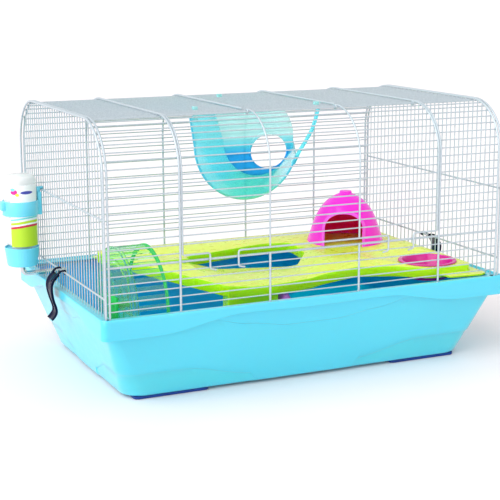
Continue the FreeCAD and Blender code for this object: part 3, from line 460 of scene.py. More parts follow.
def reworked(mesh, *edits):
    """Runs edits on a mesh and turns all its faces outwards."""
    work = bmesh.new()
    work.from_mesh(mesh)
    for edit in edits:
        edit(work)
    bmesh.ops.recalc_face_normals(work, faces=work.faces)
    work.to_mesh(mesh)
    work.free()


def mesh_of(name, shape, *edits):
    mesh = bpy.data.meshes.new(name)
    mesh.from_pydata([tuple(v) for v in shape.verts], [], shape.faces)
    reworked(mesh, *edits)
    return mesh


def smoothed(mesh, sharp):
    mesh.shade_smooth()
    mesh.set_sharp_from_angle(angle=math.radians(sharp))


def finish(name, shape, body, material, replaced=(), sharp=38.0):
    """Turns a Shape into a smooth-shaded piece that rides on a body."""
    mesh = mesh_of(name, shape, joined, without_slivers)
    return place_piece(name, mesh, body, material, replaced, sharp)


def place_piece(name, mesh, body, material, replaced, sharp=38.0):
    mesh.materials.clear()
    mesh.materials.append(material)
    smoothed(mesh, sharp)
    piece = added(name, mesh)
    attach(piece, body)
    if replaced:
        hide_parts(*replaced)
    return piece


def turned(name, profile, segments, place, body, material, replaced=(), ripple=None):
    """A piece that is a profile turned about an axis."""
    shape = Shape()
    lathe(shape, profile, segments, place, ripple)
    return finish(name, shape, body, material, replaced)


def repaint(piece, material, test):
    """Gives the faces that pass test(centre, normal) a second material."""
    piece.data.materials.append(material)
    for face in piece.data.polygons:
        if test(face.center, face.normal):
            face.material_index = 1


def applied(piece, sharp):
    """Bakes a piece's modifiers into its mesh."""
    graph = bpy.context.evaluated_depsgraph_get()
    mesh = bpy.data.meshes.new_from_object(piece.evaluated_get(graph))
    piece.modifiers.clear()
    piece.data = mesh
    smoothed(mesh, sharp)


def softened(name, node, body, material, width):
    """A copy of a CAD node with its edges rounded like a moulding's."""
    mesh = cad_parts[node].data.copy()
    mesh.name = name
    reworked(mesh, joined, without_flat_edges)
    piece = place_piece(name, mesh, body, material, (node,))
    bevel = piece.modifiers.new("round", "BEVEL")
    bevel.width = width * MM
    bevel.segments = 2
    bevel.limit_method = "ANGLE"
    bevel.angle_limit = math.radians(30.0)
    bevel.use_clamp_overlap = True
    applied(piece, 45.0)
    return piece


# ---------------- the wire top

HALF_DEPTH, ROOF_Z, BEND, SILL_Z, PITCH = 188.0, 368.0, 68.0, 186.0, 11.2
FOOT_Z, BEND_Z = 120.0, ROOF_Z - BEND
HOOP_R, DOOR_R, THIN_R, UPRIGHT_R = 1.5, 1.25, 0.85, 0.8
END_HOOP, SIDE_HOOP, MIDDLE_HOOP, END_FRAME, UPRIGHT = 288.5, 193.0, 70.0, 293.5, 291.0
DOOR_SIDE, DOOR_RIB, DOOR_BOTTOM = 189.8, 66.6, 194.6
HINGE_WIRE, ROOF_LAST, BACK_LAST = 20, 41, 66


def wrap_point(distance, inset):
    """Place on the hoops' line, distance above the sill, moved inwards by inset."""
    turn, half = BEND * math.pi / 2.0, HALF_DEPTH - BEND
    y = distance - (BEND_Z - SILL_Z) - turn - half
    way, beyond, reach = math.copysign(1.0, y), abs(y) - half, BEND - inset
    if beyond <= 0.0:
        return y, ROOF_Z - inset
    if beyond <= turn:
        a = beyond / BEND
        return way * (half + reach * math.sin(a)), BEND_Z + reach * math.cos(a)
    return way * (HALF_DEPTH - inset), BEND_Z - (beyond - turn)


HINGE_Y, HINGE_Z = wrap_point(HINGE_WIRE * PITCH, 2.0 * HOOP_R)
SILL_Y = -HALF_DEPTH + 2.0 * HOOP_R


def weld(shape, centre, radius, along):
    """The small flattened bead where two crossing wires are fused; along is an axis number."""
    axes = AXES[along:] + AXES[:along]
    rows = []
    for t in (math.pi / 4.0, math.pi / 2.0, 0.75 * math.pi):
        middle = P(*centre) + axes[0] * (1.25 * radius * MM * math.cos(t))
        rows.append(circle(middle, axes[1], axes[2], 0.62 * radius * MM * math.sin(t), 8))
    shape.solid(rows)


def wires_along(name, node, numbers, inset, left, right, body, supports, material):
    """Thin wires along X and a weld bead wherever they cross a support."""
    shape = Shape()
    for k in numbers:
        y, z = wrap_point(k * PITCH, inset)
        tube(shape, [P(left, y, z), P(right, y, z)], THIN_R * MM, 8)
        weld_y, weld_z = wrap_point(k * PITCH, inset - THIN_R)
        for x in supports:
            weld(shape, (x, weld_y, weld_z), THIN_R, 0)
    finish(name, shape, body, material, (node,))


def bend(front):
    """The quarter turn between a wall and the roof, as (y, z), front or back."""
    if front:
        return arc((-HALF_DEPTH + BEND, BEND_Z), BEND, 180.0, 90.0, 14)
    return arc((HALF_DEPTH - BEND, BEND_Z), BEND, 90.0, 0.0, 14)


def at(x, path):
    return [P(x, y, z) for y, z in path]


def rod(node, points, radius, body, coat, curl=()):
    """A bent thick wire, which may hold on by a closed curl."""
    shape = Shape()
    tube(shape, points, radius * MM, 12)
    if curl:
        tube(shape, curl, radius * MM, 10, closed=True)
    finish(node + "_rod", shape, body, coat, (node,))


def build_wire_top(coat):
    hoops = (-END_HOOP, -SIDE_HOOP, SIDE_HOOP, END_HOOP)
    front, rear = hoops + (-DOOR_RIB, DOOR_RIB), hoops + (-MIDDLE_HOOP, MIDDLE_HOOP)
    ends, inner = END_HOOP + HOOP_R, SIDE_HOOP - 1.2
    beside_door = range(1, HINGE_WIRE)
    for name, numbers, left, right, supports in (
            ("front_lower", range(-5, 0), -ends, ends, front),
            ("roof", range(HINGE_WIRE + 1, ROOF_LAST + 1), -ends, ends, rear),
            ("back", range(ROOF_LAST + 1, BACK_LAST + 1), -ends, ends, rear),
            ("front_left", beside_door, -ends, -inner, hoops[:2]),
            ("front_right", beside_door, inner, ends, hoops[2:])):
        wires_along(name + "_rods", name + "_wires", numbers, HOOP_R + THIN_R, left, right, "cage",
                    supports, coat)
    for name, node, y, z, weld_y, weld_z in (
            ("hinge_rod", "door_hinge_wire", HINGE_Y, HINGE_Z, HINGE_Y, HINGE_Z + HOOP_R),
            ("sill_rod", "door_sill_bar", SILL_Y, SILL_Z, SILL_Y - HOOP_R, SILL_Z)):
        shape = Shape()
        tube(shape, [P(x, y, z) for x in (-ends, -100.0, 100.0, ends)], HOOP_R * MM, 12)
        for x in hoops:
            weld(shape, (x, weld_y, weld_z), 1.4, 0)
        finish(name, shape, "cage", coat, (node,))
    arch = [(-HALF_DEPTH, z) for z in (FOOT_Z, FOOT_Z + 20.0, BEND_Z - 20.0)] + bend(True) \
        + bend(False) + [(HALF_DEPTH, z) for z in (BEND_Z - 20.0, FOOT_Z + 20.0, FOOT_Z)]
    rear_arch = [(HINGE_Y + 9.3, ROOF_Z), (0.0, ROOF_Z)] + bend(False) \
        + [(HALF_DEPTH, z) for z in (BEND_Z - 20.0, FOOT_Z)]
    post = [(-HALF_DEPTH, FOOT_Z), (-HALF_DEPTH, SILL_Z + HOOP_R)]
    for side, way in SIDES:
        for node, x, path in (("hoop_%s_end", END_HOOP, arch), ("hoop_%s_of_door", SIDE_HOOP, arch),
                              ("%s_end_frame", END_FRAME, arch),
                              ("hoop_%s_rear", MIDDLE_HOOP, rear_arch),
                              ("front_post_%s", DOOR_RIB, post)):
            rod(node % side, at(way * x, path), HOOP_R, "cage", coat)
        build_end_panel(side, way, coat)


def roof_height(y):
    beyond = abs(y) - (HALF_DEPTH - BEND)
    return ROOF_Z if beyond <= 0 else BEND_Z + math.sqrt(BEND * BEND - beyond * beyond)


UPRIGHTS = 32
BAR_X = UPRIGHT + UPRIGHT_R + DOOR_R
LOW_BAR_Z, MIDDLE_BAR_Z = 146.6, 246.6


def build_end_panel(side, way, coat):
    uprights, bars = Shape(), Shape()
    for k in range(UPRIGHTS):
        y = (k - (UPRIGHTS - 1) / 2.0) * PITCH
        tube(uprights, [P(way * UPRIGHT, y, z) for z in (FOOT_Z, roof_height(y))], UPRIGHT_R * MM, 8)
        for z in (LOW_BAR_Z, MIDDLE_BAR_Z):
            weld(bars, (way * (UPRIGHT + UPRIGHT_R), y, z), UPRIGHT_R, 1)
    finish("%s_end_upright_rods" % side, uprights, "cage", coat,
           ("%s_end_uprights" % side,))
    reach = HALF_DEPTH - HOOP_R
    for z in (LOW_BAR_Z, MIDDLE_BAR_Z):
        tube(bars, [P(way * BAR_X, y, z) for y in (-reach, 0.0, reach)], DOOR_R * MM, 12)
    finish("%s_end_bar_rods" % side, bars, "cage", coat, ("%s_end_bars" % side,))


def build_door(coat):
    """Side wires and ribs that curl round the hinge wire, thin wires, and the sprung latches."""
    curl = arc((HINGE_Y, HINGE_Z), HOOP_R + 0.05 + DOOR_R, 0.0, 360.0, 20)[:-1]
    for side, way in SIDES:
        for kind, x, low in (("side", DOOR_SIDE, DOOR_BOTTOM),
                             ("rib", DOOR_RIB, DOOR_BOTTOM + DOOR_R)):
            path = [(-HALF_DEPTH, z) for z in (low, low + 10.0, BEND_Z - 20.0)] + bend(True)
            rod("door_%s_%s" % (kind, side), at(way * x, path), DOOR_R, "front_door", coat,
                at(way * x, curl))
    reach, crossing = DOOR_SIDE + 0.8, DOOR_SIDE - 0.6
    wires_along("door_rods", "door_wires", range(2, HINGE_WIRE), DOOR_R + THIN_R, -reach, reach,
                "front_door", (-DOOR_RIB, DOOR_RIB, -crossing, crossing), coat)
    hook_y, tip, hook = -HALF_DEPTH - 0.4, DOOR_BOTTOM - 21.0, 9.0
    outer, inner = 152.0, 112.0
    latches = [("door_latch_inner",
                [(-inner + hook, tip - 2.0), (-inner, tip), (-inner, DOOR_BOTTOM),
                 (inner, DOOR_BOTTOM), (inner, tip), (inner - hook, tip - 2.0)])]
    for side, way in SIDES:
        latches.append(("door_latch_%s_outer" % side,
                        [(way * (DOOR_SIDE - DOOR_R), DOOR_BOTTOM), (way * outer, DOOR_BOTTOM),
                         (way * outer, tip), (way * (outer - hook), tip - 2.0)]))
    for node, corners in latches:
        outline = rounded(corners, [0.0] + [3.2] * (len(corners) - 2) + [0.0], 6)
        rod(node, [P(x, hook_y, z) for x, z in outline], DOOR_R, "front_door", coat)


# ---------------- tray

RIM_Z, FLOOR_Z, WALL = 122.0, 4.0, 2.5
RIM = (602.0, 390.0, 9.0)
TOP = (598.0, 386.0, 7.0)
BASE = (518.0, 314.0, 30.0)
SIDE_STEPS, CORNER_STEPS = 84, 12
FIELD_RISE, SETBACK = 1.7, 1.4


def loop_points(size):
    """Rounded rectangle as (x, y, outward x, outward y, s) with fixed steps a side.

    s runs from -1 to 1 along each side and is larger than 1 round the corners.
    """
    length, depth, corner = size
    a, b = length / 2.0 - corner, depth / 2.0 - corner
    result = []
    for ox, oy, half, reach, angle in ((0.0, -1.0, a, b, -90.0), (1.0, 0.0, b, a, 0.0),
                                       (0.0, 1.0, a, b, 90.0), (-1.0, 0.0, b, a, 180.0)):
        for i in range(SIDE_STEPS):
            s = 2.0 * i / (SIDE_STEPS - 1) - 1.0
            result.append((ox * (reach + corner) - oy * half * s,
                           oy * (reach + corner) + ox * half * s, ox, oy, s))
        for i in range(1, CORNER_STEPS):
            turn = math.radians(angle + 90.0 * i / CORNER_STEPS)
            u, v = math.cos(turn), math.sin(turn)
            result.append((ox * reach - oy * half + corner * u,
                           oy * reach + ox * half + corner * v, u, v, 1.2))
    return result


def band_edge(s):
    """Height of the rim band's lower edge: low at the corners, an S up to the middle."""
    return 94.5 + 16.5 * smooth(0.78, 0.36, min(abs(s), 1.0)) - 1.5 * smooth(0.36, 0.0, abs(s))


def wave_edge(s):
    """The lower edge of the raised field, which dips under the band's middle."""
    t = min(abs(s), 1.0)
    line = 86.0 + 9.0 * smooth(0.12, 0.36, t) + 12.0 * smooth(0.34, 0.56, t)
    return min(band_edge(s) - 1.0, line)


def plinth_edge(s):
    """Top of the set-back panels in the corners."""
    t = min(abs(s), 1.0)
    return 8.0 + 10.0 * smooth(0.325, 0.345, t) + 19.5 * smooth(0.33, 0.74, t)


def build_tray(blue, painted_shade_blue):
    """One closed skin, built as rings from the floor inside, over the rim and down the outside."""
    shape = Shape()
    rim, top, base = loop_points(RIM), loop_points(TOP), loop_points(BASE)
    count = len(rim)
    band, wave, plinth = ([edge(point[4]) for point in rim]
                          for edge in (band_edge, wave_edge, plinth_edge))
    # the raised field fades where the second line meets the band
    field = [FIELD_RISE * smooth(0.8, 4.0, high - low) for high, low in zip(band, wave)]
    setback = [SETBACK * smooth(0.322, 0.338, min(abs(point[4]), 1.0)) for point in rim]
    rows = []

    def on_wall(i, z, out):
        """A place on the tapering wall, moved outwards by out."""
        t = (RIM_Z - z) / (RIM_Z - FLOOR_Z)
        x, y = lerp(top[i][0], base[i][0], t), lerp(top[i][1], base[i][1], t)
        return P(x + rim[i][2] * out, y + rim[i][3] * out, z)

    def on_rim(i, z, out):
        return P(rim[i][0] + rim[i][2] * out, rim[i][1] + rim[i][3] * out, z)

    def add(place, height, out=0.0):
        """A ring; height and out are one number or a list with one for each point."""
        heights, outs = (v if isinstance(v, list) else [v] * count for v in (height, out))
        rows.append([place(i, heights[i], outs[i]) for i in range(count)])

    # inside, from the floor up to the ledge
    for rise, out in ((0.0, 5.0), (1.4, 1.6), (5.0, 0.0)):
        add(on_wall, FLOOR_Z + WALL + rise, -WALL - out)
    for k in range(1, 8):
        add(on_wall, lerp(FLOOR_Z + WALL + 5.0, 113.0, k / 7.0), -WALL)
    # over the rim and down the band
    for z, out in ((116.4, -2.0), (117.5, -14.8), (118.2, -16.4), (119.4, -16.4), (120.0, -15.6),
                   (120.0, -4.4), (120.4, -3.8), (121.2, -3.7), (121.8, -3.3), (122.0, -2.6),
                   (122.0, -1.2), (121.7, -0.4), (121.0, 0.0)):
        add(on_rim, z, out)
    for k in range(1, 5):
        add(on_rim, [lerp(121.0, z + 1.2, k / 4.0) for z in band])
    add(on_rim, [z + 0.4 for z in band], -0.3)
    add(on_rim, band, -0.9)
    # the outer wall, with its two raised fields and the set-back corners
    for k in range(5):
        add(on_wall, [lerp(high, low, k / 4.0) for high, low in zip(band, wave)], field)
    add(on_wall, [z - 0.5 for z in wave], [0.75 * out for out in field])
    for k in range(9):
        add(on_wall, [lerp(high - 1.3, low + 1.0, k / 8.0) for high, low in zip(wave, plinth)])
    add(on_wall, [z + 0.3 for z in plinth], [-0.35 * step for step in setback])
    for k in range(4):
        add(on_wall, [lerp(z - 0.8, 7.0, k / 3.0) for z in plinth], [-step for step in setback])
    for z, out in ((5.2, -0.6), (4.3, -2.0), (4.0, -4.0), (4.0, -12.0)):
        add(on_wall, z, [out - step for step in setback])
    ids = shape.rings(rows)
    for ring, z in ((ids[0], FLOOR_Z + WALL), (ids[-1], FLOOR_Z)):
        for share in (0.82, 0.55, 0.25):
            smaller = shape.ring([P(point[0] * share, point[1] * share, z) for point in base])
            shape.bridge(ring, smaller)
            ring = smaller
        shape.cap(ring)
    piece = finish("tray_moulding", shape, "cage", blue, ("base_tray",), 32.0)

    # Painted shade: the inside walls and floor get a second, more saturated blue that stands in for
    # the shade inside the tray.
    def inside(centre, normal):
        outward = Vector((centre.x - SHIFT_X * MM, centre.y, 0.0))
        if normal.z > 0.8:
            return centre.z < 0.05
        return centre.z < 0.119 and abs(normal.z) < 0.8 and normal.dot(outward) < 0.0

    repaint(piece, painted_shade_blue, inside)


def build_feet(dark):
    """Foot strips with rounded edges and a shallow groove round their sides; their dark blue is
    painted shade for the shadowed underside at the tray's lower edge.
    """
    for node in ("foot_front_left", "foot_front_right", "foot_back_left", "foot_back_right"):
        middle, half = middle_and_half(node)
        a, b = half.x, half.y
        outline = rounded([(-a, -b), (a, -b), (a, b), (-a, b)], 6.0 * MM, 5)

        def row(inset, z):
            return [Vector((middle.x + x * (1.0 - inset * MM / a),
                            middle.y + y * (1.0 - inset * MM / b), z * MM)) for x, y in outline]

        shape = Shape()
        shape.solid([row(0.0, 4.0), row(0.0, 1.2), row(0.4, 0.4), row(1.2, 0.0), row(3.0, 0.0),
                     row(3.4, 0.5), row(4.4, 0.5), row(4.8, 0.0), row(6.6, 0.0), row(7.0, 0.5)])
        finish(node + "_strip", shape, "cage", dark, (node,))


# ---------------- inside the cage

def carve(piece, cutter):
    """Cuts a closed Shape out of a piece."""
    tool = added("cutter", mesh_of("cutter", cutter))
    cut = piece.modifiers.new("cut", "BOOLEAN")
    cut.operation = "DIFFERENCE"
    cut.solver = "EXACT"
    cut.object = tool
    applied(piece, 38.0)
    bpy.data.objects.remove(tool)


DECK_Z = 132.0


def build_deck(lime, painted_side_shade, blush):
    piece = softened("deck_moulding", "activity_deck", "cage", lime, 1.1)
    # Painted shade: faces that do not face up get a deeper, more saturated green than the lime top.
    repaint(piece, painted_side_shade, lambda centre, normal: normal.z < 0.7)
    middle, half = middle_and_half("deck_pillar")
    base, height = (middle.z - half.z) / MM, 2.0 * half.z / MM
    profile = [(0.01, 0.0), (15.2, 0.0), (16.0, 0.8), (16.0, 2.4), (15.2, 3.6), (12.6, 9.0),
               (12.0, 12.6), (11.8, 40.0), (11.1, height - 27.0), (10.0, height - 22.5),
               (4.6, height - 13.0), (4.0, height - 11.4), (4.0, height), (0.01, height)]
    turned("pillar_turned", profile, 40, upright(middle.x / MM - SHIFT_X, middle.y / MM, base),
           "cage", blush, ("deck_pillar",))


BOWL = (228.5, -104.5)


def build_bowl(magenta):
    """A round bowl with a sloping wall and a rolled flange."""
    profile = [(0.01, -24.0), (27.8, -24.0), (30.4, -23.2), (31.8, -21.0), (38.0, -3.0),
               (38.3, 0.15), (41.6, 0.15), (42.3, 0.5), (42.5, 1.1), (42.1, 1.7), (41.0, 2.0),
               (38.2, 2.0), (37.1, 1.7), (36.3, 0.6), (35.3, -3.4), (29.8, -19.6),
               (28.0, -21.6), (25.8, -22.0), (0.01, -22.0)]
    turned("bowl_turned", profile, 72, upright(*BOWL, DECK_Z), "bowl", magenta,
           ("food_bowl",))


HOUSE = (193.0, 80.0)
HOUSE_R, HOUSE_H, HOUSE_SKIN = 60.0, 75.0, 2.2
HOUSE_TURN = math.radians(-32.0)
ARCH_W, ARCH_Z, ARCH_RISE = 29.0, 27.0, 22.0


def spline(poles, count):
    """Points on a clamped cubic B-spline."""
    degree = 3
    n = len(poles)
    inner_knots = [i / (n - degree) for i in range(1, n - degree)]
    knots = [0.0] * (degree + 1) + inner_knots + [1.0] * (degree + 1)
    result = []
    for k in range(count):
        t = min(k / (count - 1), 1.0 - 1e-9)
        span = max(i for i in range(degree, n) if knots[i] <= t)
        points = [Vector(poles[j + span - degree]) for j in range(degree + 1)]
        for r in range(1, degree + 1):
            for j in range(degree, r - 1, -1):
                a = knots[j + span - degree]
                b = knots[j + 1 + span - r]
                share = (t - a) / (b - a)
                points[j] = points[j - 1] * (1.0 - share) + points[j] * share
        result.append(tuple(points[degree]))
    return result


def dome(r, top, first):
    return spline([(r, 0.0), (r * 0.86, top * 0.34), (r * 0.74, top * 0.68),
                   (r * 0.40, top * 0.93), (first, top)], 26)


def build_house(pink, pale, painted_inner_shade):
    """A rounded cone with a knob, an arched doorway and a raised band round it."""
    outer = dome(HOUSE_R, HOUSE_H, 10.0)
    inner = dome(HOUSE_R - HOUSE_SKIN, HOUSE_H - HOUSE_SKIN, 7.8)
    cap = [(9.6, HOUSE_H + 1.2), (9.4, HOUSE_H + 3.2), (8.6, HOUSE_H + 4.0),
           (0.01, HOUSE_H + 4.0)]
    hollow = [(0.01, HOUSE_H - HOUSE_SKIN)] + inner[::-1]
    foot = [(HOUSE_R - 1.8, 0.0), (HOUSE_R - 0.4, 0.0)]
    piece = turned("house_dome", outer[1:] + cap + hollow[:-1] + foot, 96,
                   upright(*HOUSE, DECK_Z), "house", pink, ("hide_house",))

    def facing(x, y, z):
        """Doorway frame: x across the doorway, y outwards, z up."""
        c, s = math.cos(HOUSE_TURN), math.sin(HOUSE_TURN)
        return P(HOUSE[0] + x * c + y * s, HOUSE[1] + x * s - y * c, DECK_Z + z)

    arch = [(-ARCH_W, -2.0), (-ARCH_W, ARCH_Z)]
    for k in range(1, 16):
        a = math.pi * (1.0 - k / 16.0)
        arch.append((ARCH_W * math.cos(a), ARCH_Z + ARCH_RISE * math.sin(a)))
    arch += [(ARCH_W, ARCH_Z), (ARCH_W, -2.0)]
    cutter = Shape()
    cutter.solid([[facing(x, y, z) for x, z in arch] for y in (8.0, 70.0)])
    carve(piece, cutter)
    middle = P(*HOUSE, DECK_Z + 12.0)
    # Painted shade: the inside faces get a deep red that stands in for the shade inside the house.
    repaint(piece, painted_inner_shade, lambda centre, normal: normal.dot(centre - middle) < 0.0)

    def reach(x, z, r):
        """How far out the dome stands at (x, z), for an outer radius that shrinks upwards."""
        around = min(outer, key=lambda p: abs(p[1] - z))[0] + r
        return math.sqrt(max(around * around - x * x, 1.0))

    rows = []
    jamb = (0.3, 9.0, 18.0)
    path = [(-ARCH_W, z) for z in jamb] + arch[1:-1] + [(ARCH_W, z) for z in jamb[::-1]]
    for x, z in path:
        rise = max(z - ARCH_Z, 0.0)
        grow = math.hypot(x, rise)
        ux, uz = x / grow, rise / grow
        row = []
        for across_by, out in ((0.0, -2.2), (0.0, 0.9), (0.5, 1.5), (3.6, 1.3), (4.4, 0.5),
                               (4.6, -0.6)):
            px, pz = x + ux * across_by, z + uz * across_by
            row.append(facing(px, min(reach(px, pz, out), HOUSE_R - 0.3), pz))
        rows.append(row)
    band = Shape()
    band.solid(rows)
    finish("house_door_band", band, "house", pale)


WHEEL_X, WHEEL_Y, WHEEL_Z, WHEEL_R, WHEEL_W = -248.0, -89.0, 113.0, 79.0, 48.0


def build_wheel(green, rim_green, solid_green):
    """Closed disc on the left, open ring on the right, curved slats between them, and a hub."""
    place = across(WHEEL_X, WHEEL_Y, WHEEL_Z)
    r, w = WHEEL_R, WHEEL_W
    drum = Shape()
    rings = []
    for outer in (62.0, 34.0):                        # two raised rings on the disc
        rings += [(outer, 2.2), (outer - 1.5, 3.4), (outer - 4.0, 3.4), (outer - 5.5, 2.2)]
    lathe(drum, [(4.05, 0.0), (r - 1.0, 0.0), (r, 0.8), (r, 5.2), (r - 0.6, 6.0), (r - 1.6, 6.0),
                 (r - 2.2, 5.4), (r - 2.2, 2.6)] + rings
          + [(10.0, 2.2), (9.0, 3.2), (9.0, 19.2), (8.2, 20.0), (4.05, 20.0)], 96, place)
    for k in range(6):
        a = 2.0 * math.pi * k / 6.0
        c, s = math.cos(a), math.sin(a)
        drum.solid([[P(WHEEL_X + h, WHEEL_Y + radius * c - aside * s,
                       WHEEL_Z + radius * s + aside * c)
                     for aside, h in ((-1.1, 2.1), (-0.7, 4.2), (0.7, 4.2), (1.1, 2.1))]
                    for radius in (9.5, 30.0, 50.0, 74.0)])
    finish("wheel_disc", drum, "wheel", green, ("exercise_wheel",))

    tread = Shape()
    section = ((-1.0, -0.3), (-0.94, -0.9), (0.0, -1.0), (0.94, -0.9), (1.0, -0.3), (0.94, 0.3),
               (0.0, 0.4), (-0.94, 0.3))
    slats = 40
    for k in range(slats):
        a = 2.0 * math.pi * k / slats
        tread.solid([[place(r - 1.0 + out, a + t * 3.5 / r, h) for t, out in section]
                     for h in (5.0, 6.5, w * 0.5, w - 3.4, w - 1.9)])
    finish("wheel_tread", tread, "wheel", green)

    ring = [(r - 7.0, w - 2.1), (r - 6.6, w - 2.5), (r - 0.5, w - 2.5), (r, w - 2.0),
            (r, w - 0.4), (r - 0.4, w), (r - 6.6, w), (r - 7.0, w - 0.4)]
    turned("wheel_rim", ring, 96, place, "wheel", rim_green)
    softened("wheel_stand_moulding", "wheel_stand", "cage", solid_green, 0.9)
    axle = [(0.01, -1.0), (4.0, -1.0), (4.0, 20.8), (7.0, 20.8), (7.5, 21.3), (7.5, 22.8),
            (6.6, 23.6), (3.0, 23.8), (0.01, 23.8)]
    turned("wheel_axle_turned", axle, 40, place, "cage", solid_green,
           ("wheel_axle",))


# ---------------- drinking bottle

BOTTLE = (-323.5, 89.6)
BOTTLE_R, BOTTLE_TOP, CAP_TOP, CAP_LOW = 22.8, 270.0, 167.0, 140.0
LABEL_LOW, LABEL_HIGH = 169.8, 257.0


def direction(path, i):
    """Which way a path of (x, z, ...) runs at its point i."""
    ahead, behind = path[min(i + 1, len(path) - 1)], path[max(i - 1, 0)]
    return Vector((ahead[0] - behind[0], ahead[1] - behind[1])).normalized()


def build_bottle_shell(clear, label):
    base, r = CAP_TOP - 12.0, BOTTLE_R
    top = BOTTLE_TOP - base
    outer = [(14.0, 0.0), (14.0, 11.0), (14.8, 13.0), (19.6, 15.8), (21.9, 17.0), (r, 18.4),
             (r, top - 60.0), (r, top - 9.0), (r - 0.5, top - 5.6), (r - 2.0, top - 2.8),
             (r - 4.6, top - 0.9), (r - 8.0, top - 0.1), (0.01, top)]
    inner = [(0.01, top - 1.2), (r - 8.2, top - 1.3), (r - 5.2, top - 2.2), (r - 3.1, top - 3.8),
             (r - 1.7, top - 6.2), (r - 1.2, top - 9.2), (r - 1.2, top - 60.0), (r - 1.2, 18.8),
             (r - 2.0, 17.6), (13.6, 13.8), (12.8, 11.4), (12.8, 0.0)]
    turned("bottle_shell", outer + inner, 64, upright(*BOTTLE, base), "bottle", clear,
           ("water_bottle",))

    middle, half, columns = math.radians(-85.5), math.radians(56.5), 40
    place = upright(*BOTTLE, 0.0)
    rows = [[place(radius, middle + half * (2.0 * k / columns - 1.0),
                   lerp(LABEL_LOW, LABEL_HIGH, step / 3.0)) for k in range(columns + 1)]
            for radius, steps in ((r + 0.06, (0, 1, 2, 3)), (r + 0.26, (3, 2, 1, 0)))
            for step in steps]
    sticker = Shape()
    ids = sticker.rings(rows, closed=False)
    sticker.bridge(ids[-1], ids[0], closed=False)
    for end in (0, -1):
        sticker.faces.append(tuple(ring[end] for ring in ids))
    finish("bottle_label", sticker, "bottle", label)


def build_cap(cyan):
    """A turned cap with fine grip ribs round its skirt."""
    def knurl(radius, a, h):
        return 0.12 * math.cos(36.0 * a) * smooth(20.2, 21.4, radius) * smooth(3.0, 6.0, h) \
            * smooth(24.5, 22.5, h)

    height = CAP_TOP - CAP_LOW
    profile = [(3.5, 0.0), (19.6, 0.0), (20.8, 0.6), (21.3, 2.0), (21.7, 5.0), (22.6, 12.0),
               (23.3, 17.0), (23.9, 21.0), (24.5, 25.4), (24.6, 26.6), (24.1, 27.0), (23.5, 26.8),
               (23.1, 25.8), (22.8, 24.3), (22.3, 24.0), (14.05, height - 3.0),
               (14.05, height - 12.0), (3.5, height - 12.0)]
    turned("cap_turned", profile, 144, upright(*BOTTLE, CAP_LOW), "bottle_mount", cyan,
           ("bottle_cap",), knurl)


def build_drinking_tube(steel):
    """A steel tube that drops from the cap and turns into the cage, and the ball in its end."""
    x, y = BOTTLE
    drop, turn, end = 13.0, 7.0, 62.0
    path = [(0.0, 8.0), (0.0, 4.0)] + arc((turn, turn - drop), turn, 180.0, 270.0, 10)
    path += [(20.0, -drop), (40.0, -drop), (end - 1.2, -drop), (end, -drop)]
    rows = []
    last = len(path) - 1
    for radius, mouth, order in ((3.5, 3.25, 1), (2.9, 2.9, -1)):
        for i, (px, pz) in list(enumerate(path))[::order]:
            along = direction(path, i)
            rows.append(circle(P(x + px, y, CAP_LOW + pz), Vector((-along.y, 0.0, along.x)),
                               AXIS_Y, (mouth if i == last else radius) * MM, 24))
    shape = Shape()
    shape.rings(rows, loop=True)
    finish("tube_bent", shape, "bottle_mount", steel, ("drinking_tube",))

    middle, half = middle_and_half("tube_ball")
    rows = []
    for i in range(17):
        a = math.pi * i / 16.0
        rows.append(circle(middle + AXIS_X * (half.x * math.cos(a)), AXIS_Y, AXIS_Z,
                           half.x * math.sin(a), 24))
    ball = Shape()
    ball.rings(rows)
    finish("ball_ground", ball, "ball", steel, ("tube_ball",))


def ribbon(shape, way, path, y, section):
    """A moulded strip along path, rows of (x, z, width, thickness), with the given section."""
    rows = []
    for i, (px, pz, width, thick) in enumerate(path):
        along = direction(path, i)
        rows.append([P(way * (px - along.y * v * thick), y + u * width / 2.0,
                       pz + along.x * v * thick) for u, v in section])
    shape.solid(rows)


def build_clips(navy):
    """S-shaped clips: a channelled back with a narrow waist, two claws, a catch and a tab."""
    channel = [(-1.0, -0.35), (-0.93, -0.5), (0.93, -0.5), (1.0, -0.35), (1.0, 0.38),
               (0.94, 0.5), (0.78, 0.5), (0.66, 0.18), (-0.66, 0.18), (-0.78, 0.5),
               (-0.94, 0.5), (-1.0, 0.38)]
    bar = [(-1.0, -0.3), (-0.8, -0.5), (0.8, -0.5), (1.0, -0.3), (1.0, 0.3), (0.8, 0.5),
           (-0.8, 0.5), (-1.0, 0.3)]
    poles = [(300.6, 143.6, 27.0, 3.0), (306.0, 140.0, 27.0, 3.6), (312.6, 131.5, 27.0, 3.6),
             (310.6, 117.0, 22.0, 3.5), (308.6, 108.0, 15.0, 3.4), (305.8, 100.0, 13.5, 3.4),
             (303.6, 92.0, 17.0, 3.4), (305.6, 86.5, 22.0, 3.2), (312.0, 80.6, 23.0, 2.4)]
    claw = arc((BAR_X, LOW_BAR_Z), 2.4, 70.0, 279.0, 11)
    hook = [(303.6, 141.6, 4.6, 2.6), (301.4, 145.4, 4.6, 2.4), (298.2, 148.2, 4.6, 2.2)]
    hook += [(x, z, 4.6, 2.0) for x, z in claw]
    catch = [(305.0, 90.6, 8.0, 3.4), (303.2, 89.8, 8.0, 2.8), (301.9, 89.0, 7.4, 1.6)]
    for side, way in SIDES:
        shape = Shape()
        ribbon(shape, way, spline(poles, 30), 0.0, channel)
        for y in (-PITCH, PITCH):
            ribbon(shape, way, hook, y, bar)
        ribbon(shape, way, catch, 0.0, bar)
        finish("%s_clip_moulding" % side, shape, "%s_clip" % side, navy,
               ("%s_clip" % side,))


# ---------------- hanging nest

NEST_TOP, NEST_EDGE, NEST_LEAN = 358.0, 297.0, 18.0
PLATE_X, PLATE_Z, PLATE_R = 44.0, 302.0, 58.5


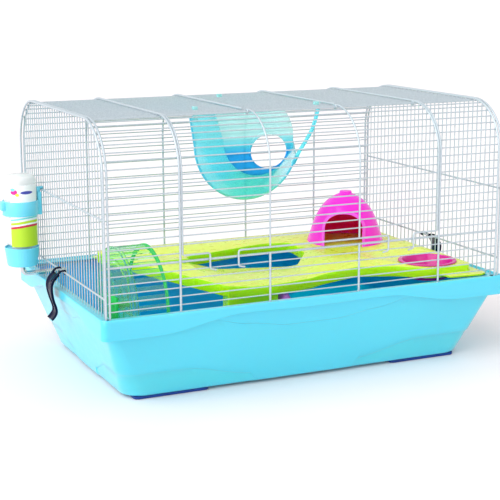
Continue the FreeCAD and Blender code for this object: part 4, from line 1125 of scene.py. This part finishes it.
def nest_section(t, skin):
    """U-shaped section from the left wall's top round to the right side, front (0) to back (1)."""
    y = lerp(-93.0, 85.0, t)
    x, z = lerp(-55.0, PLATE_X, t), lerp(320.0, PLATE_Z, t)
    r, lean = lerp(78.0, 59.0, t) - skin, lerp(6.0, NEST_LEAN, t)
    pts = [(x - r - lean, NEST_TOP), (x - r - lean * 0.66, lerp(NEST_TOP, z, 0.34)),
           (x - r - lean * 0.33, lerp(NEST_TOP, z, 0.67))]
    pts += [p for p in arc((x, z), r, 180.0, 360.0, 28)[:-1] if p[0] < x or p[1] < NEST_EDGE]
    a = math.asin((NEST_EDGE - z) / r)
    pts.append((x + r * math.cos(a), NEST_EDGE))
    return y, pts


def resample(pts, count):
    """count points at equal steps along a line of (x, z) points."""
    lengths = [0.0]
    for a, b in zip(pts, pts[1:]):
        lengths.append(lengths[-1] + math.dist(a, b))
    result = []
    j = 0
    for k in range(count):
        want = lengths[-1] * k / (count - 1)
        while j < len(pts) - 2 and lengths[j + 1] < want:
            j += 1
        t = (want - lengths[j]) / (lengths[j + 1] - lengths[j])
        result.append((lerp(pts[j][0], pts[j + 1][0], t), lerp(pts[j][1], pts[j + 1][1], t)))
    return result


def build_nest(tint, painted_shade_blue, edge, pale):
    """A tapering trough of clear plastic with a beaded rim, a back plate and a round window."""
    shape = Shape()
    count, steps = 72, 12
    skins = []
    for skin in (0.0, 2.0):
        rows = []
        for i in range(steps + 1):
            y, pts = nest_section(i / steps, skin)
            rows.append([P(x, y, z) for x, z in resample(pts, count)])
        skins.append(shape.rings(rows, closed=False))
    a, b = skins
    for end in (0, -1):
        shape.bridge(a[end], b[end], closed=False)
    for end in (0, count - 1):
        for i in range(steps):
            shape.faces.append((a[i][end], a[i + 1][end], b[i + 1][end], b[i][end]))
    # The trough and strap carry painted reflection of the deck's green low down, from their material.
    finish("nest_trough", shape, "cage", tint, ("hanging_nest",))

    bead = Shape()
    y, pts = nest_section(0.0, 1.0)
    tube(bead, [P(x, y + 1.2, z) for x, z in resample(pts, 60)], 1.5 * MM, 10)
    finish("nest_rim_bead", bead, "cage", edge)

    plate = Shape()
    sides = 96

    def plate_point(k, share):
        """From the plate's outer edge, squarer at the upper left, in to the window."""
        a = 2.0 * math.pi * k / sides
        c, e = math.cos(a), math.sin(a)
        if c < 0.0 < e:
            up = e ** 0.35
            x = PLATE_X - PLATE_R * abs(c) ** 0.35 - NEST_LEAN * up
            z = lerp(PLATE_Z, NEST_TOP, up)
        else:
            x, z = PLATE_X + PLATE_R * c, PLATE_Z + PLATE_R * e
        return lerp(x, 61.0 + 30.5 * c, share), lerp(z, 280.5 + 25.5 * e, share)

    front, back = 82.6, 84.6
    rows = []
    for share, y in ((0.0, front + 0.4), (0.03, front), (0.5, front), (0.94, front),
                     (0.955, front - 1.3), (1.0, front - 1.3), (1.0, back + 0.4), (0.96, back),
                     (0.5, back), (0.03, back), (0.0, back - 0.4)):
        rows.append([P(x, y, z) for x, z in (plate_point(k, share) for k in range(sides))])
    plate.rings(rows, loop=True)
    finish("nest_back_plate", plate, "cage", painted_shade_blue)

    strap = Shape()
    line = [(16.5, 286.0), (26.1, 303.4), (36.4, 317.8), (45.2, 331.8), (50.6, 346.0),
            (54.3, 359.0), (54.3, 363.5)]
    rows = []
    strap_y, half = -88.6, 2.4
    for (x, z), thick in zip(line, [1.7] * (len(line) - 1) + [1.5]):
        rows.append([P(x + way * 0.88 * thick, strap_y + dy, z - way * 0.45 * thick)
                     for way, dy in ((-1.0, -half), (-1.0, half), (1.0, half), (1.0, -half))])
    strap.solid(rows)
    finish("nest_strap", strap, "cage", tint)
    for tag, x, k, low in (("front", -126.2, 4, 352.0), ("back", -22.5, 18, 352.0),
                           ("right", 51.0, 3, 360.0)):
        wire_y = HINGE_Y + k * PITCH
        gap = THIN_R + 0.05
        top = ROOF_Z - HOOP_R - THIN_R + gap
        outline = [(-gap - 2.4, low), (-gap, low), (-gap, top), (gap, top), (gap, top - 3.4),
                   (gap + 2.0, top - 3.4), (gap + 2.0, top + 3.6), (-gap - 2.4, top + 3.6)]
        outline = rounded(outline, [0.5, 0.2, 0.15, 0.15, 0.2, 0.5, 1.2, 1.2])
        hook = Shape()
        ids = hook.rings([[P(x + dx, wire_y + y, z) for y, z in outline] for dx in (0.0, 6.0)])
        hook.faces.append(tuple(ids[0]))
        hook.faces.append(tuple(ids[1]))
        finish("nest_hook_" + tag, hook, "cage", pale)


# ---------------- floor and assembly

def build_floor():
    mesh = bpy.data.meshes.new("studio_floor")
    size = 45.0
    mesh.from_pydata([(-size, -size, 0.0), (size, -size, 0.0), (size, size, 0.0),
                      (-size, size, 0.0)], [], [(0, 1, 2, 3)])
    mesh.materials.append(floor_paper())
    floor = added("studio_floor", mesh)


def main():
    build_camera()
    build_light()
    build_floor()
    coat = coated_wire()
    build_wire_top(coat)
    build_door(coat)
    # The tray's second blue is painted shade for the tray's inside.
    build_tray(plastic("tray_blue", (80, 206, 230), 0.3, 0.015, 0.6, 0.5, 0.6),
               plastic("tray_inside_painted_shade", (12, 196, 255), 0.35, 0.03, 0.1, 0.3, 0.9))
    build_feet(foot_shade_blue())
    build_deck(plastic("lime_plastic", (230, 246, 84), 0.28, milky=0.6),
               # The deck's second green is painted shade for its sides and lips.
               plastic("deck_side_painted_shade", (188, 252, 10), 0.28, 0.02, 0.05, 0.3, 0.9),
               plastic("pillar_plastic", (255, 130, 255), 0.22, milky=0.9))
    build_bowl(plastic("magenta_plastic", (214, 2, 148), 0.22, milky=0.1))
    build_house(plastic("pink_plastic", (253, 22, 216), 0.24),
                plastic("pale_pink_plastic", (255, 84, 232), 0.24),
                # The house's third colour is painted shade for its inside.
                plastic("house_inside_painted_shade", (255, 8, 110), 0.3, milky=0.9))
    build_wheel(clear_plastic("wheel_green", (214, 255, 226), 0.94, ior=1.05),
                clear_plastic("wheel_rim_green", (90, 226, 136), 0.5, ior=1.05),
                clear_plastic("stand_green", (90, 246, 130), 0.6, ior=1.06))
    cyan = plastic("cyan_plastic", (112, 220, 246), 0.25)
    build_bottle_shell(clear_plastic("bottle_clear", (252, 255, 255), 0.55, 0.04, 0.01, 1.04),
                       label_print(LABEL_LOW * MM, LABEL_HIGH * MM))
    build_cap(cyan)
    build_drinking_tube(polished_steel())
    softened("holder_moulding", "bottle_holder", "bottle_mount", cyan, 0.7)
    build_clips(plastic("navy_plastic", (8, 14, 44), 0.18, 0.1, 0.0, 0.12))
    # Painted light by height: the deck's green reflected low on the trough and bead, painted shade low
    # and painted light high on the back plate.
    build_nest(height_painted_plastic("nest_trough_painted_reflection", 0.75, (0.0, 120, 255, 214), (0.22, 112, 246, 255),
                              (0.8, 136, 244, 255)),
               height_painted_plastic("nest_plate_painted_light", 0.6, (0.32, 56, 186, 255),
                              (0.43, 120, 240, 255), (0.56, 214, 255, 255)),
               height_painted_plastic("nest_bead_painted_reflection", 0.45, (0.0, 150, 246, 196),
                              (0.3, 110, 224, 246)),
               clear_plastic("nest_hook_tint", (176, 236, 236), 0.4))


main()
